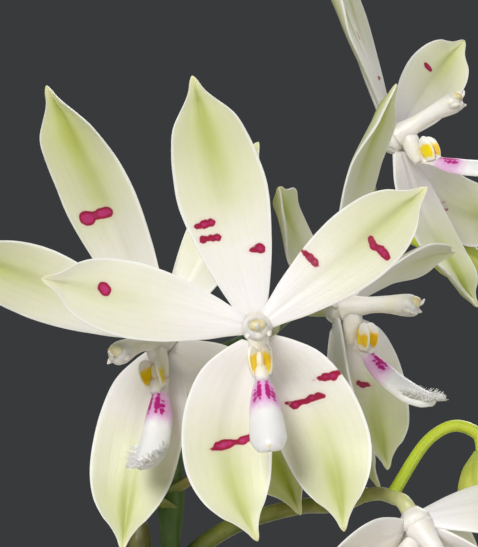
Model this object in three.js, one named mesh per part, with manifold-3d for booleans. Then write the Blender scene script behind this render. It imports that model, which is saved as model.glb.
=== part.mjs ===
// Potted Phalaenopsis tetraspis: five blooms on a branched spike, strap leaves, roots, bark and a clay pot.
// Millimetres, +Z up. The origin is the middle of the pot's foot, and the blooms face -Y.

import * as THREE from 'three';
import { mergeVertices } from 'three/addons/utils/BufferGeometryUtils.js';
import Module from 'manifold-3d';

const wasm = await Module();
wasm.setup();

// Pot
const POT_HEIGHT = 92;
const POT_FOOT_RADIUS = 37;
const POT_MOUTH_RADIUS = 50;
const POT_RIM_RADIUS = 54.5;
const POT_RIM_HEIGHT = 17;
const POT_WALL = 4.5;
const POT_SIDES = 36;
const DRAIN_HOLE_RADIUS = 5;
const DRAIN_HOLE_RING = 22;
const DRAIN_HOLES = 4;

// Bark
const BARK_TOP = 80;
const BARK_SIDES = 24;
const CHIP_COUNT = 16;
const CHIP_LENGTH = 27;

// Clearance kept between neighbouring pieces
const GAP = 0.3;

// Edges shorter than this are dropped after pieces are joined
const SMALLEST_DETAIL = 0.04;

// Plant
const STEM_BOTTOM = 62;
const STEM_TOP = 109;
const STEM_RADIUS = 7.5;
const ROOT_RADIUS = 2.2;
const SPIKE_RADIUS = 1.5;
const PEDICEL_RADIUS = 0.8;
const BUD_SEAT = 1.4;

// Bloom
const TEPAL_THICKNESS = 0.95;
const TEPAL_RING = 0.8;
const TEPAL_ARCH = 0.05;
const PETAL_BASE_BACK = 0.2;
const SEPAL_BASE_BACK = 0.7;
const SEPAL_BASE_DOWN = 0.8;
const RECEPTACLE_RADIUS = 1.7;
const RECEPTACLE_BACK = 1.9;
const PEDICEL_APPROACH = 4.6;
const COLUMN_LENGTH = 8;
const COLUMN_START = 1.6;
const COLUMN_RADIUS = 1.3;
const COLUMN_FOOT_RADIUS = 0.65;
const LIP_LENGTH = 12;
const LIP_WIDTH = 4;
const LIP_THICKNESS = 1.3;
const SIDE_LOBE_WIDTH = 2.3;
const SIDE_LOBE_THICKNESS = 0.8;
const LIP_HINGE_FORWARD = 1.9;
const LIP_HINGE_DOWN = 4.1;

const SHAPES = {
  dorsal: {
    width: 10.1,
    profile: [
      [0, 0.25], [0.15, 0.56], [0.29, 0.79], [0.5, 1], [0.65, 0.94],
      [0.75, 0.83], [0.82, 0.7], [0.88, 0.48], [0.94, 0.2], [1, 0.08],
    ],
  },
  petal: {
    width: 8.5,
    profile: [
      [0, 0.22], [0.09, 0.38], [0.17, 0.55], [0.26, 0.7], [0.36, 0.85], [0.46, 0.95],
      [0.57, 1], [0.69, 0.95], [0.78, 0.83], [0.86, 0.6], [0.93, 0.28], [1, 0.1],
    ],
  },
  sepal: {
    width: 10.1,
    profile: [
      [0, 0.28], [0.08, 0.56], [0.2, 0.87], [0.35, 0.99], [0.5, 1], [0.64, 0.94],
      [0.76, 0.77], [0.84, 0.55], [0.9, 0.3], [0.95, 0.15], [1, 0.08],
    ],
  },
  leaf: {
    profile: [
      [0, 0.25], [0.1, 0.32], [0.28, 0.7], [0.5, 0.96],
      [0.66, 1], [0.82, 0.84], [0.94, 0.46], [1, 0.12],
    ],
  },
  lobe: {
    profile: [[0, 0.5], [0.14, 0.45], [0.26, 0.66], [0.45, 0.88], [0.76, 1], [0.9, 0.7], [1, 0.3]],
  },
  bract: {
    profile: [[0, 1], [0.4, 0.9], [0.75, 0.55], [1, 0.15]],
  },
};

// Each bloom's centre, the way it faces and its own up, and each tepal's tip measured from the centre
const BLOOMS = [
  {
    centre: [6, -38, 258],
    facing: [0, -1, 0],
    up: [-0.1, 0, 0.99],
    lipDroop: 50,
    tepals: [
      { shape: 'dorsal', tip: [-7.1, -3, 27.6], twist: 0, sideBow: 0 },
      { shape: 'petal', tip: [-23.6, -3, 5.4], twist: 6, sideBow: 0 },
      { shape: 'petal', tip: [18.6, -3.5, 15.4], twist: -6, sideBow: 0 },
      { shape: 'sepal', tip: [0, -2, -23.3], twist: -8, sideBow: 0.15 },
      { shape: 'sepal', tip: [9.6, -2, -22.2], twist: 8, sideBow: -0.09 },
    ],
  },
  {
    centre: [-5, -26, 256.6],
    facing: [-0.5, -0.85, -0.18],
    up: [-0.2, 0, 0.98],
    lipDroop: 51,
    tepals: [
      { shape: 'dorsal', tip: [-12.5, -3, 28.8], twist: 0, sideBow: -0.03 },
      { shape: 'petal', tip: [-23.9, -1, 10.3], twist: 10, sideBow: 0 },
      { shape: 'petal', tip: [11.5, 1, 22.3], twist: -10, sideBow: 0 },
      { shape: 'sepal', tip: [-4.1, -3.2, -24], twist: -22, sideBow: 0.045 },
      { shape: 'sepal', tip: [16.1, -3, -19.9], twist: -22, sideBow: -0.08 },
    ],
  },
  {
    centre: [16.1, -18, 260],
    facing: [0.88, -0.47, 0.03],
    up: [0, 0, 1],
    lipDroop: 40,
    tepals: [
      { shape: 'dorsal', tip: [5.7, -3, 26.1], twist: 6, sideBow: 0.01 },
      { shape: 'petal', tip: [-8.1, -15, 13.6], twist: 8, sideBow: 0 },
      { shape: 'petal', tip: [14, 16, 7], twist: 50, sideBow: -0.02 },
      { shape: 'sepal', tip: [3.6, -5, -20.8], twist: -28, sideBow: 0.08 },
      { shape: 'sepal', tip: [5.2, 4, -19.2], twist: 30, sideBow: -0.08 },
    ],
  },
  {
    centre: [23.9, 8, 281.2],
    facing: [0.8, -0.37, 0.47],
    up: [0, 0, 1],
    lipDroop: 36,
    tepals: [
      { shape: 'dorsal', tip: [-9.8, -3, 26.4], twist: 2, sideBow: 0.02, arch: 0 },
      { shape: 'petal', tip: [-10.2, -12, 21.2], twist: 8, sideBow: 0, arch: 0 },
      { shape: 'petal', tip: [9.3, 15, 13.1], twist: -8, sideBow: 0 },
      { shape: 'sepal', tip: [9.2, -6.5, -21.6], twist: 10, sideBow: -0.03 },
      { shape: 'sepal', tip: [16, 13, -10.1], twist: 20, sideBow: 0.13 },
    ],
  },
  {
    centre: [23.6, -40.5, 236.5],
    facing: [0.45, -0.5, -0.74],
    up: [0.63, -0.41, 0.66],
    lipDroop: 34,
    tepals: [
      { shape: 'dorsal', tip: [23, 5, 2], twist: 74, sideBow: 0 },
      { shape: 'petal', tip: [6, 19, -8], twist: 0, sideBow: 0 },
      { shape: 'petal', tip: [17, -1, -14.5], twist: 25, sideBow: 0 },
      { shape: 'sepal', tip: [-9, 16, -13], twist: 0, sideBow: 0 },
      { shape: 'sepal', tip: [-14, -3, -15.2], twist: 6, sideBow: 0.18 },
    ],
  },
];

// The spike's main axis, its side branch, and the pedicels, as points along each
const SPIKE_PATH = [
  [-2.3, -8.3, 89], [-3.5, -12.3, 91.5], [-4.8, -15, 104], [-5.5, -18, 150], [-4, -16.5, 212],
  [-3.9, -16, 238], [-3, -14, 248.5], [1.5, -11.5, 254], [6.5, -7.5, 256.7], [13, 0, 262],
  [17.8, 9, 270], [19, 14, 272.5],
];
const BRANCH_PATH = [
  [-3.9, -16.4, 224], [-2.6, -15.8, 229.5], [-0.5, -17, 232], [3.6, -19, 234.7],
  [11, -23.5, 237.2], [15.8, -30, 238], [18.4, -32.8, 239.4],
];

const PEDICELS = [
  { path: [[2, -11.5, 253], [7.5, -19, 257], [7.6, -28, 258.8]], bloom: 0 },
  { path: [[-3.2, -14.5, 245.5], [-4, -16.5, 251], [-3.6, -20, 256]], bloom: 1 },
  { path: [[7, -7, 256.8], [10, -9, 260], [12, -14, 260.4]], bloom: 2 },
  { path: [[17.6, 8.8, 269.7], [18.6, 11, 274.5], [20.2, 11, 279]], bloom: 3 },
  { path: [[17.6, -32.2, 239], [19.6, -34, 239.5], [21.2, -36.2, 239.2]], bloom: 4, approach: 3.2 },
];

// Each bud: the path of its stalk, the way it points, and its size
const BUDS = [
  {
    path: [[20.8, -35.6, 239.2], [25.5, -32, 245.6], [28.4, -31, 246.9], [31, -30.4, 245.8]],
    aim: [0.25, 0.05, -1],
    length: 10.5,
    radius: 3.9,
  },
  {
    path: [[17.6, 8, 270], [21.5, 15, 271], [26.5, 17.6, 268.4]],
    aim: [0.9, -0.03, -0.4],
    length: 9.5,
    radius: 2.8,
  },
  {
    path: [[-3.9, -16.2, 219], [-7, -14, 222.5], [-7.8, -12.6, 227]],
    aim: [0.02, 0.05, 1],
    length: 7,
    radius: 1.4,
  },
  {
    path: [[18.6, 12, 271.6], [19, 14.4, 272.7]],
    aim: [0.22, 0.85, 0.42],
    length: 6,
    radius: 1.8,
  },
];

// Where each bract sits on the spike, and the way it points
const BRACTS = [
  { at: [-4, -16.3, 236], away: [-0.8, -0.5, 0.6] },
  { at: [-3.9, -16.2, 238], away: [0.9, -0.4, 0.6] },
  { at: [-4, -16.4, 219], away: [-0.5, 0.8, 0.6] },
  { at: [-4.6, -17, 190], away: [0.9, -0.1, 0.7] },
  { at: [-5.4, -17.9, 148], away: [-0.9, -0.1, 0.7] },
  { at: [7, -7, 257], away: [0.3, 0.8, 0.5] },
  { at: [17.4, 9, 270], away: [0.1, 0.9, -0.3] },
  { at: [15, -25, 238.3], away: [0.1, 0.7, 0.7] },
];

// Leaves in two ranks: where each leaves the stem, how far it reaches and rises, and its width
const LEAVES = [
  { turn: 176, from: 88, reach: 116, rise: 20, drop: 42, width: 52, out: 9 },
  { turn: -6, from: 91, reach: 122, rise: 27, drop: 38, width: 55, out: 9 },
  { turn: 189, from: 95, reach: 102, rise: 46, drop: 20, width: 54, out: 9.2 },
  { turn: 9, from: 98, reach: 94, rise: 56, drop: 12, width: 51, out: 9.1 },
  { turn: 172, from: 102, reach: 60, rise: 62, drop: -12, width: 41, out: 8.3 },
  { turn: -10, from: 105, reach: 28, rise: 56, drop: -26, width: 28, out: 7.8 },
];

// Each root: its heading, and its path as distances from the stem and heights
const ROOTS = [
  {
    turn: 226,
    path: [[9.3, 82], [18, 87], [34, 88.5], [47, 95.6], [56, 94.5], [58.8, 80], [57.6, 58], [59.5, 42]],
  },
  { turn: 318, path: [[9.3, 82], [19, 87.5], [30, 85], [36, 72], [35, 58]] },
  { turn: 62, path: [[9.3, 82], [20, 87.5], [37, 88.5], [49, 96.3], [57.7, 92.5], [59, 76], [57.8, 63]] },
  { turn: 128, path: [[9.3, 81], [17, 87], [28, 86], [35, 71], [33, 57]] },
  { turn: 282, path: [[9.5, 80], [15, 84.5], [23, 83], [28, 69], [26, 57]] },
];

function vector(numbers) {
  return new THREE.Vector3(...numbers);
}

function seededRandom(seed) {
  let state = seed;
  return () => {
    state = (state * 1664525 + 1013904223) % 4294967296;
    return state / 4294967296;
  };
}

// Value of a smooth curve through [place, value] points
function along(points, place) {
  const last = points.length - 1;
  let index = 0;
  while (index < last - 1 && place > points[index + 1][0]) {
    index += 1;
  }
  const slope = (k) => {
    const before = points[Math.max(k - 1, 0)];
    const after = points[Math.min(k + 1, last)];
    return (after[1] - before[1]) / (after[0] - before[0]);
  };
  const [x0, y0] = points[index];
  const [x1, y1] = points[index + 1];
  const span = x1 - x0;
  const t = (place - x0) / span;
  const rise = slope(index) * span;
  const settle = slope(index + 1) * span;
  return (2 * t ** 3 - 3 * t ** 2 + 1) * y0 + (t ** 3 - 2 * t ** 2 + t) * rise
    + (3 * t ** 2 - 2 * t ** 3) * y1 + (t ** 3 - t ** 2) * settle;
}

function closedGeometry(points, faces) {
  const geometry = new THREE.BufferGeometry();
  geometry.setAttribute('position', new THREE.Float32BufferAttribute(points.flatMap((p) => p.toArray()), 3));
  geometry.setIndex(faces.flat());
  return geometry;
}

function toSolid(geometry) {
  const bare = geometry.clone();
  bare.deleteAttribute('normal');
  bare.deleteAttribute('uv');
  const merged = mergeVertices(bare, 1e-4);
  return new wasm.Manifold(new wasm.Mesh({
    numProp: 3,
    vertProperties: new Float32Array(merged.attributes.position.array),
    triVerts: new Uint32Array(merged.index.array),
  }));
}

// The largest outer body of a solid, without loose scraps or sealed hollows
function mainBody(solid) {
  const pieces = solid.simplify(SMALLEST_DETAIL).decompose();
  return pieces.reduce((best, piece) => (piece.volume() > best.volume() ? piece : best));
}

function toGeometry(solid) {
  const mesh = mainBody(solid).getMesh();
  const geometry = new THREE.BufferGeometry();
  geometry.setAttribute('position', new THREE.BufferAttribute(new Float32Array(mesh.vertProperties), 3));
  geometry.setIndex(new THREE.BufferAttribute(new Uint32Array(mesh.triVerts), 1));
  return geometry;
}

function joined(solids) {
  return solids.reduce((whole, solid) => whole.add(solid));
}

// A closed tube along a smooth curve, its radius following a profile
function tube(points, radius, { sides = 8, steps = 12, profile = [[0, 1], [1, 1]], flatten = 1 } = {}) {
  const curve = new THREE.CatmullRomCurve3(points.map(vector), false, 'centripetal');
  const frames = curve.computeFrenetFrames(steps, false);
  const rings = [];
  for (let step = 0; step <= steps; step += 1) {
    const middle = curve.getPointAt(step / steps);
    const size = radius * along(profile, step / steps);
    for (let side = 0; side < sides; side += 1) {
      const angle = (2 * Math.PI * side) / sides;
      rings.push(middle.clone()
        .addScaledVector(frames.normals[step], size * Math.cos(angle))
        .addScaledVector(frames.binormals[step], size * flatten * Math.sin(angle)));
    }
  }
  const faces = [];
  for (let step = 0; step < steps; step += 1) {
    for (let side = 0; side < sides; side += 1) {
      const next = (side + 1) % sides;
      const a = step * sides + side;
      const b = step * sides + next;
      faces.push([a, b, b + sides], [a, b + sides, a + sides]);
    }
  }
  for (let side = 1; side < sides - 1; side += 1) {
    const end = steps * sides;
    faces.push([0, side + 1, side], [end, end + side, end + side + 1]);
  }
  return closedGeometry(rings, faces);
}

// A closed blade along a spine: its width follows a profile, and lift raises it across its width
function blade({ spine, facing, width, profile, lift, thickness, rows, columns }) {
  const points = [];
  for (const face of [1, -1]) {
    for (let row = 0; row <= rows; row += 1) {
      const t = row / rows;
      const middle = spine(t);
      const tangent = spine(Math.min(t + 0.01, 1)).sub(spine(Math.max(t - 0.01, 0))).normalize();
      const normal = facing(t).clone();
      normal.addScaledVector(tangent, -normal.dot(tangent)).normalize();
      const side = tangent.clone().cross(normal);
      const half = (width / 2) * along(profile, t);
      for (let column = 0; column <= columns; column += 1) {
        const across = (2 * column) / columns - 1;
        const height = lift(t, across, half) + (face * thickness(across)) / 2;
        points.push(middle.clone().addScaledVector(side, half * across).addScaledVector(normal, height));
      }
    }
  }
  const perRow = columns + 1;
  const perFace = (rows + 1) * perRow;
  const faces = [];
  for (let row = 0; row < rows; row += 1) {
    for (let column = 0; column < columns; column += 1) {
      const a = row * perRow + column;
      const b = a + 1;
      const c = a + perRow;
      const d = c + 1;
      faces.push([a, b, d], [a, d, c]);
      faces.push([a + perFace, d + perFace, b + perFace], [a + perFace, c + perFace, d + perFace]);
    }
  }
  const wall = (p, q) => faces.push([p, q + perFace, q], [p, p + perFace, q + perFace]);
  for (let row = 0; row < rows; row += 1) {
    wall((row + 1) * perRow, row * perRow);
    wall(row * perRow + columns, (row + 1) * perRow + columns);
  }
  for (let column = 0; column < columns; column += 1) {
    wall(column, column + 1);
    wall(rows * perRow + column + 1, rows * perRow + column);
  }
  return closedGeometry(points, faces);
}

// One sepal or petal from the bloom's centre to its tip
function tepal(bloom, { shape, tip, twist, sideBow, arch = TEPAL_ARCH }) {
  const normal = vector(bloom.facing).normalize();
  const outward = vector(tip);
  outward.addScaledVector(normal, -outward.dot(normal)).normalize();
  const setBack = shape === 'petal' ? PETAL_BASE_BACK : SEPAL_BASE_BACK;
  const lower = shape === 'sepal' ? SEPAL_BASE_DOWN : 0;
  const base = vector(bloomPoint(bloomAxes(bloom), -setBack, -lower)).addScaledVector(outward, TEPAL_RING);
  const toTip = vector(bloom.centre).add(vector(tip)).sub(base);
  const length = toTip.length();
  const axis = toTip.clone().normalize();
  normal.addScaledVector(axis, -normal.dot(axis)).normalize();
  normal.applyAxisAngle(axis, THREE.MathUtils.degToRad(twist));
  const side = axis.clone().cross(normal);
  const spine = (t) => {
    const bend = Math.sin(Math.PI * t);
    return base.clone()
      .addScaledVector(axis, length * t)
      .addScaledVector(side, sideBow * length * bend)
      .addScaledVector(normal, -arch * length * bend);
  };
  const hollow = (t) => 0.1 + 0.35 * THREE.MathUtils.smoothstep(t, 0.6, 1);
  return blade({
    spine,
    facing: () => normal,
    width: SHAPES[shape].width,
    profile: SHAPES[shape].profile,
    lift: (t, across, half) => hollow(t) * half * across ** 2,
    thickness: (across) => TEPAL_THICKNESS * (1 - 0.3 * across ** 2),
    rows: 8,
    columns: 4,
  });
}

function bloomAxes(bloom) {
  const facing = vector(bloom.facing).normalize();
  const up = vector(bloom.up);
  up.addScaledVector(facing, -up.dot(facing)).normalize();
  return { centre: vector(bloom.centre), facing, up, right: up.clone().cross(facing) };
}

function bloomPoint({ centre, facing, up, right }, forward, upward, sideways = 0) {
  return centre.clone()
    .addScaledVector(facing, forward)
    .addScaledVector(up, upward)
    .addScaledVector(right, sideways)
    .toArray();
}

function bloomTepals(bloom) {
  const axes = bloomAxes(bloom);
  const middle = [0.4, -0.8, -RECEPTACLE_BACK].map((forward) => bloomPoint(axes, forward, 0));
  const receptacle = tube(middle, RECEPTACLE_RADIUS, { steps: 4, profile: [[0, 0.7], [0.4, 1], [1, 0.65]] });
  const foot = tube([bloomPoint(axes, -1.1, 0.5), bloomPoint(axes, -0.9, -SEPAL_BASE_DOWN - 1)],
    RECEPTACLE_RADIUS * 0.7, { steps: 2 });
  const pieces = bloom.tepals.map((piece) => tepal(bloom, piece));
  return joined([receptacle, foot, ...pieces].map(toSolid));
}

function bloomColumn(bloom) {
  const axes = bloomAxes(bloom);
  const end = COLUMN_START + COLUMN_LENGTH;
  const line = [[COLUMN_START, 0], [end / 2, 0.25], [end, 0]];
  const middle = line.map(([forward, upward]) => bloomPoint(axes, forward, upward));
  const body = tube(middle, COLUMN_RADIUS,
    { steps: 7, profile: [[0, 0.95], [0.3, 0.85], [0.6, 0.95], [0.85, 1.12], [1, 0.55]] });
  const foot = tube([bloomPoint(axes, 2.2, -0.2), bloomPoint(axes, 1.4, -1.7), bloomPoint(axes, 1.15, -3.2)],
    COLUMN_FOOT_RADIUS, { steps: 3, sides: 6 });
  return toSolid(body).add(toSolid(foot));
}

function bloomLip(bloom) {
  const axes = bloomAxes(bloom);
  const droop = THREE.MathUtils.degToRad(bloom.lipDroop);
  const out = axes.facing.clone().multiplyScalar(Math.cos(droop)).addScaledVector(axes.up, -Math.sin(droop));
  const face = axes.facing.clone().multiplyScalar(Math.sin(droop)).addScaledVector(axes.up, Math.cos(droop));
  const hinge = vector(bloomPoint(axes, LIP_HINGE_FORWARD, -LIP_HINGE_DOWN));
  const place = (outward, raised, sideways) => hinge.clone()
    .addScaledVector(out, outward)
    .addScaledVector(face, raised)
    .addScaledVector(axes.right, sideways);
  const middle = blade({
    spine: (t) => place(LIP_LENGTH * t, -0.4 * Math.sin(Math.PI * t) + 0.8 * t ** 3, 0),
    facing: () => face,
    width: LIP_WIDTH,
    profile: SHAPES.lobe.profile,
    lift: (t, across, half) => -0.5 * half * across ** 2,
    thickness: () => LIP_THICKNESS,
    rows: 7,
    columns: 3,
  });
  const sides = [-1, 1].map((hand) => blade({
    spine: (t) => vector(bloomPoint(axes, 2.7 + 0.7 * t, -5.1 + 3.3 * t, hand * (0.6 + 0.45 * t))),
    facing: () => axes.right,
    width: SIDE_LOBE_WIDTH,
    profile: [[0, 0.8], [0.35, 1], [0.75, 0.9], [1, 0.6]],
    lift: () => 0,
    thickness: () => SIDE_LOBE_THICKNESS,
    rows: 3,
    columns: 1,
  }));
  return joined([middle, ...sides].map(toSolid));
}

function bract({ at, away }) {
  const start = vector(at);
  const direction = vector(away).normalize();
  return blade({
    spine: (t) => start.clone().addScaledVector(direction, 4.6 * t),
    facing: () => new THREE.Vector3(-direction.z * direction.x, -direction.z * direction.y, 1).normalize(),
    width: 3.2,
    profile: SHAPES.bract.profile,
    lift: (t, across) => 0.5 * across ** 2,
    thickness: () => 0.8,
    rows: 2,
    columns: 2,
  });
}

function spike() {
  const axis = tube(SPIKE_PATH, SPIKE_RADIUS,
    { sides: 7, steps: 21, profile: [[0, 1.25], [0.3, 1], [1, 0.6]] });
  const branch = tube(BRANCH_PATH, SPIKE_RADIUS, { sides: 6, steps: 7, profile: [[0, 0.8], [1, 0.5]] });
  const pedicels = PEDICELS.map(({ path, bloom, approach = PEDICEL_APPROACH }) => {
    const axes = bloomAxes(BLOOMS[bloom]);
    const ends = [...path, bloomPoint(axes, -approach, 0), bloomPoint(axes, -RECEPTACLE_BACK - 2 * GAP, 0)];
    return tube(ends, PEDICEL_RADIUS, { sides: 6, steps: 5, profile: [[0, 0.95], [0.7, 1], [1, 1.15]] });
  });
  const budStalks = BUDS.map((entry) => tube([...entry.path, budFoot(entry, 0)], PEDICEL_RADIUS * 0.85,
    { sides: 5, steps: 5 }));
  return joined([axis, branch, ...pedicels, ...budStalks, ...BRACTS.map(bract)].map(toSolid));
}

// A point on a bud's own line, measured from where its stalk meets it
function budFoot({ path, aim }, distance) {
  const end = vector(path[path.length - 1]);
  return end.addScaledVector(vector(aim).normalize(), BUD_SEAT + distance).toArray();
}

function bud(entry) {
  const { length, radius } = entry;
  return tube([budFoot(entry, GAP), budFoot(entry, length / 2), budFoot(entry, length)], radius,
    { sides: 9, steps: 7, profile: [[0, 0.25], [0.18, 0.72], [0.45, 1], [0.75, 0.78], [1, 0.16]] });
}

function leaf({ turn, from, reach, rise, drop, width, out }) {
  const heading = THREE.MathUtils.degToRad(turn);
  const outward = new THREE.Vector3(Math.cos(heading), Math.sin(heading), 0);
  const at = (distance, height) => outward.clone().multiplyScalar(distance).setZ(height);
  const arch = new THREE.CubicBezierCurve3(at(out, from), at(out + 0.16 * reach, from + 0.75 * rise),
    at(out + 0.55 * reach, from + 1.25 * rise), at(out + reach, from + rise - drop));
  const fold = (t) => 0.62 - 0.42 * THREE.MathUtils.smoothstep(t, 0, 0.45);
  return blade({
    spine: (t) => arch.getPoint(t),
    facing: () => at(-1, 1.4).normalize(),
    width,
    profile: SHAPES.leaf.profile,
    lift: (t, across, half) => fold(t) * half * Math.abs(across),
    thickness: (across) => 2.3 - 1.1 * Math.abs(across),
    rows: 11,
    columns: 4,
  });
}

function stem() {
  return tube([[0, 0, STEM_BOTTOM], [0, 0, (STEM_BOTTOM + STEM_TOP) / 2], [0, 0, STEM_TOP]], STEM_RADIUS,
    { sides: 14, steps: 8, profile: [[0, 0.7], [0.25, 1], [0.75, 0.92], [1, 0.6]] });
}

function rootPath({ turn, path }) {
  const heading = THREE.MathUtils.degToRad(turn);
  return path.map(([distance, height], index) => {
    const swerve = heading + 0.09 * Math.sin(index * 1.9 + turn);
    return [distance * Math.cos(swerve), distance * Math.sin(swerve), height];
  });
}

function root(entry) {
  return tube(rootPath(entry), ROOT_RADIUS,
    { sides: 8, steps: 2 * entry.path.length, profile: [[0, 1.1], [0.8, 1], [1, 0.7]] });
}

// The plain hole that a root lies in, a little wider and deeper than the root
function rootHole(entry) {
  const path = rootPath(entry).map(vector);
  const last = path.length - 1;
  const beyond = (end, before) => end.clone().addScaledVector(end.clone().sub(before).normalize(), 2);
  const line = [beyond(path[0], path[1]), ...path, beyond(path[last], path[last - 1])];
  return toSolid(tube(line.map((point) => point.toArray()), 1.5 * ROOT_RADIUS + 2 * GAP,
    { sides: 6, steps: path.length + 2 }));
}

function lathe(outline, sides = POT_SIDES) {
  const points = outline.map(([radius, height]) => new THREE.Vector2(radius, height));
  const geometry = new THREE.LatheGeometry(points, sides);
  geometry.rotateX(Math.PI / 2);
  return geometry;
}

function pot() {
  const rimFoot = POT_HEIGHT - POT_RIM_HEIGHT;
  const wallAt = (height) => POT_FOOT_RADIUS + ((POT_MOUTH_RADIUS - POT_FOOT_RADIUS) * height) / POT_HEIGHT;
  const body = toSolid(lathe([
    [0, 0], [POT_FOOT_RADIUS - 2, 0], [POT_FOOT_RADIUS, 2],
    [wallAt(rimFoot), rimFoot], [POT_RIM_RADIUS - 1, rimFoot], [POT_RIM_RADIUS, rimFoot + 2],
    [POT_RIM_RADIUS, POT_HEIGHT - 3], [POT_RIM_RADIUS - 2, POT_HEIGHT], [POT_MOUTH_RADIUS - 3, POT_HEIGHT],
    [POT_MOUTH_RADIUS - POT_WALL, POT_HEIGHT - 3],
    [POT_FOOT_RADIUS - POT_WALL, POT_WALL + 3], [0, POT_WALL + 2],
  ]));
  const holes = [];
  for (let index = 0; index < DRAIN_HOLES; index += 1) {
    const angle = (2 * Math.PI * (index + 0.5)) / DRAIN_HOLES;
    const hole = new THREE.CylinderGeometry(DRAIN_HOLE_RADIUS, DRAIN_HOLE_RADIUS, 20, 12);
    hole.rotateX(Math.PI / 2);
    hole.translate(DRAIN_HOLE_RING * Math.cos(angle), DRAIN_HOLE_RING * Math.sin(angle), 5);
    holes.push(toSolid(hole));
  }
  return body.subtract(joined(holes));
}

function bark() {
  const random = seededRandom(7);
  const inside = (height) => POT_FOOT_RADIUS - POT_WALL - GAP
    + ((POT_MOUTH_RADIUS - POT_FOOT_RADIUS) * (height - POT_WALL - 3)) / (POT_HEIGHT - POT_WALL - 6) - GAP;
  const bottom = POT_WALL + 4;
  const outline = [[0, bottom], [inside(bottom), bottom], [inside(BARK_TOP), BARK_TOP], [0, BARK_TOP]];
  const fill = toSolid(lathe(outline, BARK_SIDES));
  const chips = [];
  for (let index = 0; index < CHIP_COUNT; index += 1) {
    const share = (index + 0.5) / CHIP_COUNT;
    const distance = 38 * Math.sqrt(share);
    const angle = index * 2.39996;
    const size = CHIP_LENGTH * (0.65 + 0.5 * random());
    const chip = new THREE.BoxGeometry(size, size * (0.5 + 0.2 * random()), size * 0.32);
    chip.rotateX((random() - 0.5) * 1.1);
    chip.rotateY((random() - 0.5) * 1.1);
    chip.rotateZ(random() * Math.PI);
    chip.translate(distance * Math.cos(angle), distance * Math.sin(angle), BARK_TOP + 2 * random());
    chips.push(toSolid(chip));
  }
  const room = toSolid(lathe([[0, bottom], [inside(bottom), bottom], [inside(POT_HEIGHT - 4), POT_HEIGHT - 4],
    [inside(POT_HEIGHT - 4), POT_HEIGHT + 8], [0, POT_HEIGHT + 8]], BARK_SIDES));
  const stemLine = [STEM_BOTTOM - GAP, BARK_TOP, STEM_TOP].map((height) => [0, 0, height]);
  const stemHole = tube(stemLine, STEM_RADIUS + 2 * GAP, { sides: 14, steps: 2 });
  const holes = [toSolid(stemHole), ...ROOTS.map(rootHole)];
  return joined([fill, ...chips]).intersect(room).subtract(joined(holes));
}

function material(color, roughness) {
  return new THREE.MeshStandardMaterial({ color, roughness, metalness: 0 });
}

const CLAY = material('#b5673c', 0.85);
const BARK = material('#5b3a24', 0.95);
const STEM = material('#5d7a35', 0.6);
const ROOT = material('#a9b39a', 0.8);
const LEAF = material('#3f6a2c', 0.4);
const SPIKE = material('#4f7426', 0.5);
const PETAL = material('#eef0dc', 0.45);
const COLUMN = material('#f7f4ee', 0.45);
const LIP = material('#f3dfe6', 0.45);
const BUD = material('#b4bb4a', 0.5);

const plant = new THREE.Group();

function place(name, geometry, finish) {
  const mesh = new THREE.Mesh(geometry, finish);
  mesh.name = name;
  plant.add(mesh);
}

place('pot', toGeometry(pot()), CLAY);
place('bark', toGeometry(bark()), BARK);
place('stem', stem(), STEM);
ROOTS.forEach((entry, index) => place(`root_${index + 1}`, root(entry), ROOT));
LEAVES.forEach((entry, index) => place(`leaf_${index + 1}`, leaf(entry), LEAF));
place('flower_spike', toGeometry(spike()), SPIKE);
BUDS.forEach((entry, index) => place(`bud_${index + 1}`, bud(entry), BUD));
BLOOMS.forEach((bloom, index) => {
  place(`bloom_${index + 1}_tepals`, toGeometry(bloomTepals(bloom)), PETAL);
  place(`bloom_${index + 1}_column`, toGeometry(bloomColumn(bloom)), COLUMN);
  place(`bloom_${index + 1}_lip`, toGeometry(bloomLip(bloom)), LIP);
});

export default plant;
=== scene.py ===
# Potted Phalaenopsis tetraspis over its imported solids: five blooms on a spike, buds, leaves, roots, bark
# and a clay pot.
# Sizes are in millimetres until a mesh is made; the frame is the part's own, with +Z up.
import math
import random

import bpy
from mathutils import Matrix, Vector, noise


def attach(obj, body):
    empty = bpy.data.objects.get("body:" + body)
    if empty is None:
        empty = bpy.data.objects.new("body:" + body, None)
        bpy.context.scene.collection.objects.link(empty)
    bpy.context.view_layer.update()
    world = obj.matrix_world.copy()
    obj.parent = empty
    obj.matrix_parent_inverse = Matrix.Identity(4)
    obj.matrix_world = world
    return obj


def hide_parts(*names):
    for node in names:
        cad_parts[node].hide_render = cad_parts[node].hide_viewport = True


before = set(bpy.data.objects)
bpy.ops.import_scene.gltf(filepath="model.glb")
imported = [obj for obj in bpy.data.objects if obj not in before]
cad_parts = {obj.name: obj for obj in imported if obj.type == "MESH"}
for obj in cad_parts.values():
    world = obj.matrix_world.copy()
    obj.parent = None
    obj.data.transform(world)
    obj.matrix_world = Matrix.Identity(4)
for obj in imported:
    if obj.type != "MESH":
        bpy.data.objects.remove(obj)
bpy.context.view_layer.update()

MM = 0.001

# Pot
POT_HEIGHT = 92
POT_FOOT_RADIUS = 37
POT_MOUTH_RADIUS = 50
POT_RIM_RADIUS = 54.5
POT_RIM_HEIGHT = 17
POT_WALL = 4.5
DRAIN_HOLE_RADIUS = 5
DRAIN_HOLE_RING = 22
DRAIN_HOLES = 4

# Bark
BARK_TOP = 80
CHIP_COUNT = 210
CHIP_LENGTH = 17
CHIP_SPREAD = 42.5
BED_RADIUS = 46.0
BED_ROWS = 24
GOLDEN_ANGLE = 2.39996

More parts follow.
